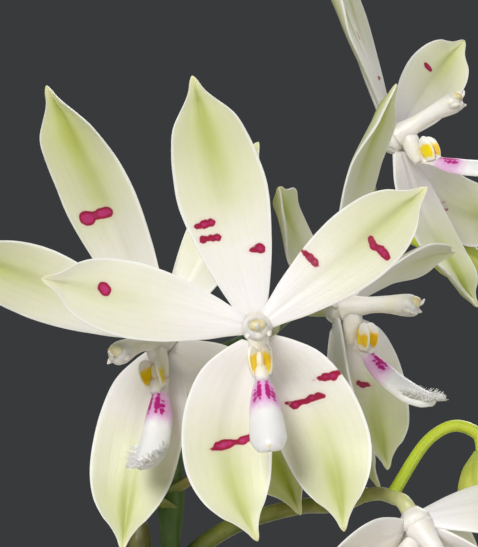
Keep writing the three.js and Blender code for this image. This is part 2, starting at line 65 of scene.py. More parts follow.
# Plant
STEM_BOTTOM = 62
STEM_TOP = 109
STEM_RADIUS = 7.5
STEM_PROFILE = ((0, 0.7), (0.25, 1), (0.75, 0.92), (1, 0.6))
ROOT_RADIUS = 2.2
SPIKE_RADIUS = 1.5
PEDICEL_RADIUS = 0.8
PEDICEL_APPROACH = 4.6
BUD_SEAT = 1.4

# Bloom
TEPAL_THICKNESS = 0.95
TEPAL_RING = 0.8
TEPAL_ROWS = 84
TEPAL_SIDES = 76
SEPAL_BASE_DOWN = 0.8
GROOVE_DEPTH = 0.28
RECEPTACLE_RADIUS = 1.7
RECEPTACLE_BACK = 1.9
COLUMN_LENGTH = 8
COLUMN_START = 1.6
COLUMN_RADIUS = 1.3
LIP_LENGTH = 12
LIP_HINGE_FORWARD = 1.9
LIP_HINGE_DOWN = 4.1
HAIRS_PER_LIP = 460

# Camera: level, 320 mm in front of the nearest bloom, which the photograph shows at 0.11 mm a pixel
CAMERA_PLACE = (4.02, -358, 264)
CAMERA_LENS = 191.5
SENSOR = 36

WIDTHS = {"dorsal": 10.1, "petal": 8.5, "sepal": 10.1}
OUTLINES = {
    "dorsal": [
        (0, 0.25), (0.15, 0.56), (0.29, 0.79), (0.5, 1), (0.65, 0.94),
        (0.75, 0.83), (0.82, 0.7), (0.88, 0.46), (0.94, 0.19), (1, 0.055),
    ],
    "petal": [
        (0, 0.22), (0.09, 0.38), (0.17, 0.55), (0.26, 0.7), (0.36, 0.85), (0.46, 0.95),
        (0.57, 1), (0.69, 0.95), (0.78, 0.83), (0.86, 0.6), (0.93, 0.26), (1, 0.06),
    ],
    "sepal": [
        (0, 0.28), (0.08, 0.56), (0.2, 0.87), (0.35, 0.99), (0.5, 1), (0.64, 0.94),
        (0.76, 0.77), (0.84, 0.54), (0.9, 0.3), (0.95, 0.14), (1, 0.055),
    ],
    "leaf": [
        (0, 0.25), (0.1, 0.32), (0.28, 0.7), (0.5, 0.96),
        (0.66, 1), (0.82, 0.84), (0.94, 0.46), (1, 0.12),
    ],
    "lobe": [
        (0, 0.45), (0.136, 0.41), (0.24, 0.65), (0.39, 0.84), (0.5, 0.91),
        (0.76, 1), (0.86, 0.84), (0.945, 0.6), (1, 0.25),
    ],
    "side lobe": [(0, 0.7), (0.35, 1), (0.7, 0.9), (1, 0.5)],
    "bract": [(0, 1), (0.4, 0.9), (0.75, 0.55), (1, 0.15)],
    "bud": [(0, 0.25), (0.18, 0.72), (0.45, 1), (0.75, 0.78), (0.92, 0.42), (1, 0.16)],
}

# Each bloom: its centre, the way it faces, its own up, how far its lip droops, and its sepals and petals.
# A tip is measured from the centre. Green says how green a piece is. A bar is a chain of spots, each with
# its share of the way to the tip, its distance from the midline and its radius.
BLOOMS = [
    {
        "centre": (6, -38, 258), "facing": (0, -1, 0), "up": (-0.1, 0, 0.99), "droop": 50,
        "tepals": [
            {
                "shape": "dorsal", "tip": (-7.1, -3, 27.6), "twist": 0, "bow": 0, "green": 0.9,
                "bars": [
                    [(0.417, -3.61, 0.37), (0.417, -2.8, 0.52), (0.417, -1.98, 0.49)],
                    [(0.36, -3.34, 0.46), (0.357, -2.46, 0.4), (0.353, -1.7, 0.46)],
                    [(0.277, 1.19, 0.17), (0.273, 1.72, 0.33), (0.273, 2.45, 0.5), (0.267, 2.67, 0.44)],
                ],
            },
            {
                "shape": "petal", "tip": (-23.6, -3, 5.4), "twist": 6, "bow": 0, "green": 0.35,
                "bars": [[(0.71, 0.72, 0.6), (0.693, 0.37, 0.6)]],
            },
            {
                "shape": "petal", "tip": (18.6, -3.5, 15.4), "twist": -6, "bow": 0, "green": 0.65,
                "bars": [
                    [(0.353, -3.51, 0.16), (0.357, -3.07, 0.33), (0.363, -2.35, 0.46), (0.367, -1.61, 0.44),
                     (0.363, -1.13, 0.22)],
                    [(0.64, 0.4, 0.42), (0.63, 1.11, 0.44), (0.637, 1.5, 0.27), (0.647, 1.98, 0.49),
                     (0.647, 2.57, 0.49), (0.647, 3.07, 0.33)],
                ],
            },
            {
                "shape": "sepal", "tip": (0, -2, -23.3), "twist": -8, "bow": 0.15, "green": 0.8,
                "bars": [
                    [(0.537, 1.75, 0.22), (0.523, 1, 0.49), (0.517, 0.38, 0.55), (0.51, -0.25, 0.55),
                     (0.503, -1.01, 0.35), (0.493, -1.77, 0.55), (0.477, -2.28, 0.44), (0.457, -2.54, 0.16)],
                ],
            },
            {
                "shape": "sepal", "tip": (9.6, -2, -22.2), "twist": 8, "bow": -0.09, "green": 0.9,
                "bars": [
                    [(0.287, -2.06, 0.13), (0.297, -2.68, 0.27), (0.307, -3.31, 0.44), (0.32, -4.07, 0.49),
                     (0.32, -4.75, 0.3)],
                    [(0.307, 1.84, 0.28), (0.337, 1.24, 0.5), (0.343, 0.5, 0.35), (0.35, -0.12, 0.33),
                     (0.353, -0.75, 0.44), (0.36, -1.51, 0.42), (0.373, -2.02, 0.22)],
                ],
            },
        ],
    },
    {
        "centre": (-5, -26, 256.6), "facing": (-0.5, -0.85, -0.18), "up": (-0.2, 0, 0.98), "droop": 51,
        "tepals": [
            {
                "shape": "dorsal", "tip": (-12.5, -3, 28.8), "twist": 0, "bow": -0.03, "green": 1.15,
                "bars": [
                    [(0.487, -2.98, 0.8), (0.483, -2.48, 0.83), (0.484, -1.7, 0.45), (0.483, -0.87, 0.63),
                     (0.48, -0.25, 0.69), (0.477, 0.37, 0.57)],
                ],
            },
            {"shape": "petal", "tip": (-23.9, -1, 10.3), "twist": 10, "bow": 0, "green": 0.8},
            {"shape": "petal", "tip": (11.5, 1, 22.3), "twist": -10, "bow": 0, "green": 0.9},
            {"shape": "sepal", "tip": (-4.1, -3.2, -24), "twist": -22, "bow": 0.045, "green": 0.9},
            {"shape": "sepal", "tip": (16.1, -3, -19.9), "twist": -22, "bow": -0.08, "green": 1.7},
        ],
    },
    {
        "centre": (16.1, -18, 260), "facing": (0.88, -0.47, 0.03), "up": (0, 0, 1), "droop": 40,
        "tepals": [
            {"shape": "dorsal", "tip": (5.7, -3, 26.1), "twist": 6, "bow": 0.01, "green": 1},
            {"shape": "petal", "tip": (-8.1, -15, 13.6), "twist": 8, "bow": 0, "green": 1.1},
            {"shape": "petal", "tip": (14, 16, 7), "twist": 50, "bow": -0.02, "green": 0.5},
            {"shape": "sepal", "tip": (3.6, -5, -20.8), "twist": -28, "bow": 0.08, "green": 0.9},
            {
                "shape": "sepal", "tip": (5.2, 4, -19.2), "twist": 30, "bow": -0.08, "green": 1,
                "bars": [[(0.41, 1.27, 0.35), (0.44, 0.76, 0.42), (0.457, 0.13, 0.33), (0.48, -0.63, 0.15)]],
            },
        ],
    },
    {
        "centre": (23.9, 8, 281.2), "facing": (0.8, -0.37, 0.47), "up": (0, 0, 1), "droop": 36,
        "tepals": [
            {
                "shape": "dorsal", "tip": (-9.8, -3, 26.4), "twist": 2, "bow": 0.02, "arch": 0, "green": 0.9,
                "bars": [[(0.253, 1.87, 0.32), (0.256, 2.3, 0.25)], [(0.48, -0.87, 0.3)]],
            },
            {
                "shape": "petal", "tip": (-10.2, -12, 21.2), "twist": 8, "bow": 0, "arch": 0, "green": 0.8,
                "bars": [[(0.49, 2.7, 0.36), (0.515, 2.9, 0.3)], [(0.25, 2.4, 0.3), (0.28, 2.5, 0.26)]],
            },
            {
                "shape": "petal", "tip": (9.3, 15, 13.1), "twist": -8, "bow": 0, "green": 0.7,
                "bars": [[(0.637, -1.9, 0.46), (0.637, -1.35, 0.44)]],
            },
            {"shape": "sepal", "tip": (9.2, -6.5, -21.6), "twist": 10, "bow": -0.03, "green": 1.3},
            {
                "shape": "sepal", "tip": (16, 13, -10.1), "twist": 20, "bow": 0.13, "green": 0.8,
                "bars": [
                    [(0.387, 1.14, 0.27), (0.405, 0.9, 0.25), (0.423, 0.64, 0.24), (0.45, 0.1, 0.18)],
                    [(0.437, 1.4, 0.25), (0.455, 1.1, 0.2), (0.477, 0.76, 0.15)],
                ],
            },
        ],
    },
    {
        "centre": (23.6, -40.5, 236.5), "facing": (0.45, -0.5, -0.74), "up": (0.63, -0.41, 0.66), "droop": 34,
        "tepals": [
            {"shape": "dorsal", "tip": (23, 5, 2), "twist": 74, "bow": 0, "green": 1},
            {"shape": "petal", "tip": (6, 19, -8), "twist": 0, "bow": 0, "green": 0.7},
            {"shape": "petal", "tip": (17, -1, -14.5), "twist": 25, "bow": 0, "green": 0.4},
            {
                "shape": "sepal", "tip": (-9, 16, -13), "twist": 0, "bow": 0, "green": 0.8,
                "bars": [[(0.5, -1.5, 0.4), (0.505, -0.6, 0.5), (0.5, 0.4, 0.4)]],
            },
            {
                "shape": "sepal", "tip": (-14, -3, -15.2), "twist": 6, "bow": 0.18, "green": 0.4,
                "bars": [[(0.4, 4.5, 0.3), (0.43, 4.1, 0.36), (0.46, 3.6, 0.38), (0.5, 3, 0.3)]],
            },
        ],
    },
]

SPIKE_PATH = [
    (-2.3, -8.3, 89), (-3.5, -12.3, 91.5), (-4.8, -15, 104), (-5.5, -18, 150), (-4, -16.5, 212),
    (-3.9, -16, 238), (-3, -14, 248.5), (1.5, -11.5, 254), (6.5, -7.5, 256.7), (13, 0, 262),
    (17.8, 9, 270), (19, 14, 272.5),
]
BRANCH_PATH = [
    (-3.9, -16.4, 224), (-2.6, -15.8, 229.5), (-0.5, -17, 232), (3.6, -19, 234.7),
    (11, -23.5, 237.2), (15.8, -30, 238), (18.4, -32.8, 239.4),
]
PEDICELS = [
    {"path": [(2, -11.5, 253), (7.5, -19, 257), (7.6, -28, 258.8)], "bloom": 0},
    {"path": [(-3.2, -14.5, 245.5), (-4, -16.5, 251), (-3.6, -20, 256)], "bloom": 1},
    {"path": [(7, -7, 256.8), (10, -9, 260), (12, -14, 260.4)], "bloom": 2},
    {"path": [(17.6, 8.8, 269.7), (18.6, 11, 274.5), (20.2, 11, 279)], "bloom": 3},
    {"path": [(17.6, -32.2, 239), (19.6, -34, 239.5), (21.2, -36.2, 239.2)], "bloom": 4, "approach": 3.2},
]
BUDS = [
    {"path": [(20.8, -35.6, 239.2), (25.5, -32, 245.6), (28.4, -31, 246.9), (31, -30.4, 245.8)],
     "aim": (0.25, 0.05, -1), "length": 10.5, "radius": 3.9},
    {"path": [(17.6, 8, 270), (21.5, 15, 271), (26.5, 17.6, 268.4)],
     "aim": (0.9, -0.03, -0.4), "length": 9.5, "radius": 2.8},
    {"path": [(-3.9, -16.2, 219), (-7, -14, 222.5), (-7.8, -12.6, 227)],
     "aim": (0.02, 0.05, 1), "length": 7, "radius": 1.4},
    {"path": [(18.6, 12, 271.6), (19, 14.4, 272.7)], "aim": (0.22, 0.85, 0.42), "length": 6, "radius": 1.8},
]
BRACTS = [
    ((-4, -16.3, 236), (-0.8, -0.5, 0.6)),
    ((-3.9, -16.2, 238), (0.9, -0.4, 0.6)),
    ((-4, -16.4, 219), (-0.5, 0.8, 0.6)),
    ((-4.6, -17, 190), (0.9, -0.1, 0.7)),
    ((-5.4, -17.9, 148), (-0.9, -0.1, 0.7)),
    ((7, -7, 257), (0.3, 0.8, 0.5)),
    ((17.4, 9, 270), (0.1, 0.9, -0.3)),
    ((15, -25, 238.3), (0.1, 0.7, 0.7)),
]
LEAVES = [
    {"turn": 176, "from": 88, "reach": 116, "rise": 20, "drop": 42, "width": 52, "out": 9},
    {"turn": -6, "from": 91, "reach": 122, "rise": 27, "drop": 38, "width": 55, "out": 9},
    {"turn": 189, "from": 95, "reach": 102, "rise": 46, "drop": 20, "width": 54, "out": 9.2},
    {"turn": 9, "from": 98, "reach": 94, "rise": 56, "drop": 12, "width": 51, "out": 9.1},
    {"turn": 172, "from": 102, "reach": 60, "rise": 62, "drop": -12, "width": 41, "out": 8.3},
    {"turn": -10, "from": 105, "reach": 28, "rise": 56, "drop": -26, "width": 28, "out": 7.8},
]
ROOTS = [
    {
        "turn": 226,
        "path": [(9.3, 82), (18, 87), (34, 88.5), (47, 95.6), (56, 94.5), (58.8, 80), (57.6, 58), (59.5, 42)],
    },
    {"turn": 318, "path": [(9.3, 82), (19, 87.5), (30, 85), (36, 72), (35, 58)]},
    {"turn": 62, "path": [(9.3, 82), (20, 87.5), (37, 88.5), (49, 96.3), (57.7, 92.5), (59, 76), (57.8, 63)]},
    {"turn": 128, "path": [(9.3, 81), (17, 87), (28, 86), (35, 71), (33, 57)]},
    {"turn": 282, "path": [(9.5, 80), (15, 84.5), (23, 83), (28, 69), (26, 57)]},
]


def eased(value, low, high):
    share = min(max((value - low) / (high - low), 0), 1)
    return share * share * (3 - 2 * share)


def outline_at(points, place):
    """Value of the smooth curve through (place, value) points."""
    last = len(points) - 1
    index = 0
    while index < last - 1 and place > points[index + 1][0]:
        index += 1

    def slope(k):
        before, after = points[max(k - 1, 0)], points[min(k + 1, last)]
        return (after[1] - before[1]) / (after[0] - before[0])

    (x0, y0), (x1, y1) = points[index], points[index + 1]
    span = x1 - x0
    t = (place - x0) / span
    return (
        (2 * t ** 3 - 3 * t ** 2 + 1) * y0 + (t ** 3 - 2 * t ** 2 + t) * slope(index) * span
        + (3 * t ** 2 - 2 * t ** 3) * y1 + (t ** 3 - t ** 2) * slope(index + 1) * span
    )


def smooth_line(points, count):
    """Evenly spaced points on the smooth curve through the given ones."""
    points = [Vector(point) for point in points]
    ends = [2 * points[0] - points[1], *points, 2 * points[-1] - points[-2]]
    fine = []
    for before, start, end, after in zip(ends, ends[1:], ends[2:], ends[3:]):
        pairs = ((before, start), (start, end), (end, after))
        first, middle, last = (math.sqrt((b - a).length) for a, b in pairs)
        leave = (
            (start - before) / first - (end - before) / (first + middle) + (end - start) / middle
        ) * middle
        arrive = (
            (end - start) / middle - (after - start) / (middle + last) + (after - end) / last
        ) * middle
        for step in range(20):
            t = step / 20
            fine.append(
                start * (2 * t ** 3 - 3 * t ** 2 + 1) + leave * (t ** 3 - 2 * t ** 2 + t)
                + end * (3 * t ** 2 - 2 * t ** 3) + arrive * (t ** 3 - t ** 2)
            )
    fine.append(points[-1])
    gone = [0]
    for a, b in zip(fine, fine[1:]):
        gone.append(gone[-1] + (b - a).length)
    line, index = [], 0
    for step in range(count + 1):
        wanted = gone[-1] * step / count
        while index < len(fine) - 2 and gone[index + 1] < wanted:
            index += 1
        share = (wanted - gone[index]) / (gone[index + 1] - gone[index])
        line.append(fine[index].lerp(fine[index + 1], share))
    return line


def line_frames(line):
    """For each point of a line, two directions across it that turn as little as they can."""
    frames = []
    normal = (line[1] - line[0]).orthogonal()
    for index in range(len(line)):
        ahead = (line[min(index + 1, len(line) - 1)] - line[max(index - 1, 0)]).normalized()
        normal = (normal - ahead * normal.dot(ahead)).normalized()
        frames.append((normal, ahead.cross(normal)))
    return frames


def deselect():
    bpy.ops.object.select_all(action="DESELECT")


def skin(name, material, sides, rows, place, readings=None):
    """A closed skin from a grid: place(turn, row) gives each point, and readings give its attributes."""
    deselect()
    bpy.ops.mesh.primitive_grid_add(x_subdivisions=sides, y_subdivisions=rows, size=1)
    piece = bpy.context.object
    piece.name = name
    mesh = piece.data
    spots = [(vertex.co.x + 0.5, round((vertex.co.y + 0.5) * rows)) for vertex in mesh.vertices]
    for vertex, (turn, row) in zip(mesh.vertices, spots):
        vertex.co = place(turn, row) * MM
    for label, reading in (readings or {}).items():
        layer = mesh.attributes.new(label, "FLOAT", "POINT")
        layer.data.foreach_set("value", [reading(turn, row) for turn, row in spots])
    mesh.materials.append(material)
    bpy.ops.object.mode_set(mode="EDIT")
    bpy.ops.mesh.select_all(action="SELECT")
    bpy.ops.mesh.remove_doubles(threshold=0.003 * MM)
    bpy.ops.mesh.normals_make_consistent(inside=False)
    bpy.ops.object.mode_set(mode="OBJECT")
    bpy.ops.object.shade_smooth()
    return piece


def blade(
    name, material, spine, facing, half_width, lift, thickness, rows, sides,
    readings=None, ease=1.6, tip=0.03,
):
    """A leaf-like piece along a spine, rounded over at its tip and thinning to its margins."""
    lines = []
    for row in range(rows + 1):
        t = 1 - (1 - row / rows) ** ease
        ahead = (spine(min(t + 0.01, 1)) - spine(max(t - 0.01, 0))).normalized()
        normal = facing(t)
        normal = (normal - ahead * normal.dot(ahead)).normalized()
        closing = 0 if row == 0 else math.sqrt(max(1 - (max(t - 1 + tip, 0) / tip) ** 2, 0))
        lines.append((t, spine(t), ahead.cross(normal), normal, half_width(t) * closing, closing))

    def place(turn, row):
        t, middle, side, normal, half, closing = lines[row]
        across, depth = math.cos(2 * math.pi * turn), math.sin(2 * math.pi * turn)
        rise = math.copysign(abs(depth) ** 0.75, depth) * thickness(t, across) / 2 * closing
        return middle + side * (half * across) + normal * (lift(t, across, half) + rise)

    def reading(value):
        def at(turn, row):
            angle = 2 * math.pi * turn
            return value(lines[row][0], math.cos(angle), math.sin(angle), lines[row][4])

        return at

    own = {
        "across": lambda t, across, depth, half: across,
        "along": lambda t, across, depth, half: t,
        "front": lambda t, across, depth, half: 0.5 + 0.5 * depth,
        **(readings or {}),
    }
    return skin(name, material, sides, rows, place, {label: reading(value) for label, value in own.items()})


def tube(name, material, points, radius, rows, sides=20, profile=((0, 1), (1, 1)), swell=None, readings=None):
    """A closed tube along the smooth line through points. Swell changes its radius by place and turn."""
    line = smooth_line(points, rows - 2)
    frames = line_frames(line)

    def place(turn, row):
        index = min(max(row - 1, 0), rows - 2)
        share = index / (rows - 2)
        size = 0 if row in (0, rows) else radius * outline_at(profile, share)
        if swell:
            size *= swell(share, turn, line[index])
        angle = 2 * math.pi * turn
        normal, other = frames[index]
        return line[index] + normal * (size * math.cos(angle)) + other * (size * math.sin(angle))

    def share_of(turn, row):
        return min(max(row - 1, 0), rows - 2) / (rows - 2)

    own = {"along": share_of, **(readings or {})}
    return skin(name, material, sides, rows, place, own)


def ball(name, material, centre, across, upward, forward, segments=24):
    """An egg-shaped piece with the three given half axes."""
    deselect()
    bpy.ops.mesh.primitive_uv_sphere_add(segments=segments, ring_count=segments // 2, radius=1)
    piece = bpy.context.object
    piece.name = name
    turn = Matrix((across, upward, forward)).transposed().to_4x4()
    piece.data.transform(Matrix.Scale(MM, 4) @ Matrix.Translation(centre) @ turn)
    piece.data.materials.append(material)
    bpy.ops.object.shade_smooth()
    return piece


def twin(piece):
    """A copy of a piece with a mesh of its own."""
    copy = piece.copy()
    copy.data = piece.data.copy()
    bpy.context.collection.objects.link(copy)
    return copy


def joined(name, pieces):
    deselect()
    for piece in pieces:
        piece.select_set(True)
    bpy.context.view_layer.objects.active = pieces[0]
    if len(pieces) > 1:
        bpy.ops.object.join()
    pieces[0].name = name
    return pieces[0]


def dressed(piece, slot, *nodes):
    """Hands a finished piece to the frame: it stands for the nodes, which it hides. The slot is not used."""
    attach(piece, "root")
    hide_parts(*nodes)
    return piece


# Shader helpers

def paint(code):
    """Linear colour of a written one such as #F2F0EA."""
    parts = [int(code[start:start + 2], 16) / 255 for start in (1, 3, 5)]
    return (*(part / 12.92 if part <= 0.04045 else ((part + 0.055) / 1.055) ** 2.4 for part in parts), 1)


def put(tree, kind, inputs=None, **settings):
    """Adds a shader node. An input given as a socket is linked, and any other value is set."""
    node = tree.nodes.new(kind)
    for name, value in settings.items():
        setattr(node, name, value)
    for name, value in (inputs or {}).items():
        if isinstance(value, bpy.types.NodeSocket):
            tree.links.new(value, node.inputs[name])
        else:
            node.inputs[name].default_value = value
    return node


def maths(tree, operation, *values, clamp=False):
    node = put(tree, "ShaderNodeMath", dict(enumerate(values)), operation=operation, use_clamp=clamp)
    return node.outputs[0]


def stepped(tree, value, low, high):
    """A smooth step of a value: 0 at low and 1 at high, which may be the lower of the two."""
    node = put(tree, "ShaderNodeMapRange", {"Value": value, "From Min": low, "From Max": high},
               interpolation_type="SMOOTHSTEP")
    return node.outputs["Result"]


def product(tree, *values):
    whole = values[0]
    for value in values[1:]:
        whole = maths(tree, "MULTIPLY", whole, value)
    return whole


def mixed(tree, share, first, second):
    node = put(tree, "ShaderNodeMix", {0: share, 6: first, 7: second}, data_type="RGBA")
    return node.outputs[2]


def reading_of(tree, name):
    return put(tree, "ShaderNodeAttribute", attribute_type="GEOMETRY", attribute_name=name).outputs["Fac"]


def effect(name, inputs, outputs):
    """An empty shader node group with named inputs and outputs."""
    tree = bpy.data.node_groups.new(name, "ShaderNodeTree")
    for label, value in inputs.items():
        kind = "NodeSocketColor" if isinstance(value, tuple) else "NodeSocketFloat"
        tree.interface.new_socket(label, in_out="INPUT", socket_type=kind).default_value = value
    for label, kind in outputs.items():
        tree.interface.new_socket(label, in_out="OUTPUT", socket_type=kind)
    return tree, tree.nodes.new("NodeGroupInput").outputs, tree.nodes.new("NodeGroupOutput").inputs


def send(tree, socket, value):
    tree.links.new(value, socket)


def use(tree, group, **inputs):
    """Places a node group, its inputs given with their spaces as underscores."""
    values = {name.replace("_", " "): value for name, value in inputs.items()}
    return put(tree, "ShaderNodeGroup", values, node_tree=group).outputs


def mottling_effect():
    """Two colours mixed in soft uneven patches, and the patches themselves."""
    tree, given, wanted = effect(
        "Soft mottling",
        {"Scale": 100.0, "Contrast": 0.5, "First": (1, 1, 1, 1), "Second": (0, 0, 0, 1)},
        {"Colour": "NodeSocketColor", "Patches": "NodeSocketFloat"},
    )
    place = put(tree, "ShaderNodeTexCoord").outputs["Object"]
    cloud = put(tree, "ShaderNodeTexNoise",
                {"Vector": place, "Scale": given["Scale"], "Detail": 5.0, "Roughness": 0.6})
    low = maths(tree, "MULTIPLY_ADD", given["Contrast"], 0.25, 0.25)
    high = maths(tree, "SUBTRACT", 1.0, low)
    patches = stepped(tree, cloud.outputs[0], low, high)
    send(tree, wanted["Colour"], mixed(tree, patches, given["First"], given["Second"]))
    send(tree, wanted["Patches"], patches)
    return tree


def grain_effect():
    """Fine uneven height for clay, bark, roots and plant skin."""
    tree, given, wanted = effect(
        "Fine grain", {"Scale": 1000.0, "Roughness": 0.6}, {"Height": "NodeSocketFloat"},
    )
    place = put(tree, "ShaderNodeTexCoord").outputs["Object"]
    cloud = put(tree, "ShaderNodeTexNoise",
                {"Vector": place, "Scale": given["Scale"], "Detail": 6.0, "Roughness": given["Roughness"]})
    send(tree, wanted["Height"], cloud.outputs[0])
    return tree


def veins_effect():
    """Fine lines that run with a petal or leaf, wavering a little and meeting towards its ends."""
    tree, given, wanted = effect(
        "Fine veins",
        {"Across": 0.0, "Along": 0.0, "Lines": 14.0, "Waver": 1.0, "Thinness": 0.35},
        {"Veins": "NodeSocketFloat"},
    )
    spot = put(tree, "ShaderNodeCombineXYZ", {"X": given["Across"], "Y": given["Along"]}).outputs[0]
    stretched = put(tree, "ShaderNodeVectorMath", {0: spot, 1: (2.2, 3.0, 1.0)},
                    operation="MULTIPLY").outputs[0]
    cloud = put(tree, "ShaderNodeTexNoise", {"Vector": stretched, "Scale": 1.6, "Detail": 3.0}).outputs[0]
    shift = product(tree, cloud, given["Waver"])
    wave = maths(tree, "SINE", maths(tree, "MULTIPLY_ADD", given["Across"], given["Lines"], shift))
    line = stepped(tree, maths(tree, "ABSOLUTE", wave), given["Thinness"], 0.0)
    faint = put(tree, "ShaderNodeTexNoise", {"Vector": stretched, "Scale": 4.0, "Detail": 2.0}).outputs[0]
    send(tree, wanted["Veins"], product(tree, line, stepped(tree, faint, 0.25, 0.65)))
    return tree


MOTTLING = mottling_effect()
GRAIN = grain_effect()
VEINS = veins_effect()


def mottled(tree, scale, contrast, first, second):
    """Soft mottling between two colours given in hex."""
    return use(tree, MOTTLING, Scale=scale, Contrast=contrast, First=paint(first), Second=paint(second))


def new_material(name, **values):
    """A material with a Principled BSDF whose constant inputs are set, spaces given as underscores."""
    material = bpy.data.materials.new(name)
    material.use_nodes = True
    tree = material.node_tree
    shader = tree.nodes["Principled BSDF"]
    for label, value in values.items():
        shader.inputs[label.replace("_", " ")].default_value = value
    return material, tree, shader.inputs


def relief(tree, shader, height, distance, strength=1.0):
    bump = put(tree, "ShaderNodeBump", {"Height": height, "Distance": distance * MM, "Strength": strength})
    send(tree, shader["Normal"], bump.outputs[0])


def tepal_material():
    material, tree, shader = new_material(
        "waxy_petal", Subsurface_Weight=0.25, Subsurface_Scale=0.0012, Subsurface_Radius=(1.0, 0.95, 0.6),
        Specular_IOR_Level=0.4, Sheen_Weight=0.03, Sheen_Roughness=0.5,
    )
    across, along, front = (reading_of(tree, name) for name in ("across", "along", "front"))
    green, bar = reading_of(tree, "green"), reading_of(tree, "bar")
    edge = maths(tree, "ABSOLUTE", across)
    place = put(tree, "ShaderNodeTexCoord").outputs["Object"]
    cloud = put(tree, "ShaderNodeTexNoise", {"Vector": place, "Scale": 160.0, "Detail": 4.0}).outputs[0]
    uneven = maths(tree, "MULTIPLY_ADD", cloud, 0.3, -0.15)
    reach = maths(tree, "ADD", along, uneven)
    base = mixed(tree, stepped(tree, reach, 0.08, 0.5), paint("#F3EFEC"), paint("#EDEADB"))
    centred = stepped(tree, edge, 1.05, 0.1)
    wash = product(tree, green, stepped(tree, reach, 0.22, 0.85),
                   maths(tree, "MULTIPLY_ADD", centred, 0.5, 0.45))
    colour = mixed(tree, maths(tree, "MINIMUM", wash, 1.0), base, paint("#CFD68E"))
    groove = product(tree, green, stepped(tree, edge, 0.42, 0.02), stepped(tree, reach, 0.35, 0.8),
                     stepped(tree, along, 0.995, 0.9), 0.62)
    colour = mixed(tree, maths(tree, "MINIMUM", groove, 1.0), colour, paint("#AEB83E"))
    veins = use(tree, VEINS, Across=across, Along=along, Lines=15.0, Waver=2.0, Thinness=0.9)["Veins"]
    veins = product(tree, veins, stepped(tree, along, 0.86, 0.66))
    colour = mixed(tree, product(tree, veins, 0.06), colour, paint("#C9CC8C"))
    colour = mixed(tree, product(tree, stepped(tree, front, 0.55, 0.2), stepped(tree, along, 0.1, 0.5), 0.3),
                   colour, paint("#CBD183"))
    colour = mixed(tree, product(tree, stepped(tree, along, 0.93, 0.985), 0.6), colour, paint("#EDE9B4"))
    # Painted highlight: the margins are lightened towards white as if light caught their thickened rims.
    colour = mixed(tree, product(tree, stepped(tree, edge, 0.9, 0.985), 0.85), colour, paint("#FBFAF2"))
    ragged = put(tree, "ShaderNodeTexNoise", {"Vector": place, "Scale": 1500.0, "Detail": 3.0}).outputs[0]
    reached = maths(tree, "ADD", bar, maths(tree, "MULTIPLY_ADD", ragged, 0.24, -0.12))
    inside = stepped(tree, reached, 0.06, -0.06)
    core = stepped(tree, reached, -0.12, -0.42)
    crimson = mixed(tree, product(tree, core, maths(tree, "MULTIPLY_ADD", cloud, 1.6, -0.2)),
                    paint("#9C0036"), paint("#CE3A84"))
    halo = stepped(tree, reached, 0.5, 0.0)
    colour = mixed(tree, product(tree, halo, 0.16), colour, paint("#E79AB0"))
    colour = mixed(tree, inside, colour, crimson)
    send(tree, shader["Base Color"], colour)
    fine = use(tree, GRAIN, Scale=2600.0, Roughness=0.5)["Height"]
    send(tree, shader["Roughness"], maths(tree, "MULTIPLY_ADD", fine, 0.2, 0.32))
    height = maths(tree, "ADD", product(tree, veins, -0.16), product(tree, fine, 0.3))
    relief(tree, shader, maths(tree, "MULTIPLY_ADD", inside, -0.4, height), 0.07)
    return material


def lip_material():
    material, tree, shader = new_material(
        "lip", Subsurface_Weight=0.25, Subsurface_Scale=0.001, Subsurface_Radius=(1.0, 0.8, 0.8),
        Roughness=0.32, Specular_IOR_Level=0.5,
    )
    across, along, bar = (reading_of(tree, name) for name in ("across", "along", "bar"))
    edge = maths(tree, "ABSOLUTE", across)
    place = put(tree, "ShaderNodeTexCoord").outputs["Object"]
    cloud = put(tree, "ShaderNodeTexNoise", {"Vector": place, "Scale": 900.0, "Detail": 3.0}).outputs[0]
    reach = maths(tree, "ADD", along, maths(tree, "MULTIPLY_ADD", cloud, 0.12, -0.06))
    wash = product(tree, stepped(tree, reach, 0.1, 0.2), stepped(tree, reach, 0.56, 0.4))
    colour = mixed(tree, wash, paint("#FBF9F7"), paint("#EBC3E4"))
    colour = mixed(tree, stepped(tree, reach, 0.16, 0.06), colour, paint("#F8E8DC"))
    ragged = put(tree, "ShaderNodeTexNoise", {"Vector": place, "Scale": 2200.0, "Detail": 2.0}).outputs[0]
    reached = maths(tree, "ADD", bar, maths(tree, "MULTIPLY_ADD", ragged, 0.24, -0.12))
    colour = mixed(tree, product(tree, stepped(tree, reached, 0.5, 0.0), 0.45), colour, paint("#DC7FC8"))
    colour = mixed(tree, stepped(tree, reached, 0.05, -0.05), colour, paint("#BC0480"))
    point = product(tree, stepped(tree, along, 0.965, 0.985), stepped(tree, edge, 0.9, 0.4), 0.6)
    colour = mixed(tree, point, colour, paint("#D9C08A"))
    send(tree, shader["Base Color"], colour)
    relief(tree, shader, use(tree, GRAIN, Scale=2400.0, Roughness=0.55)["Height"], 0.07)
    return material


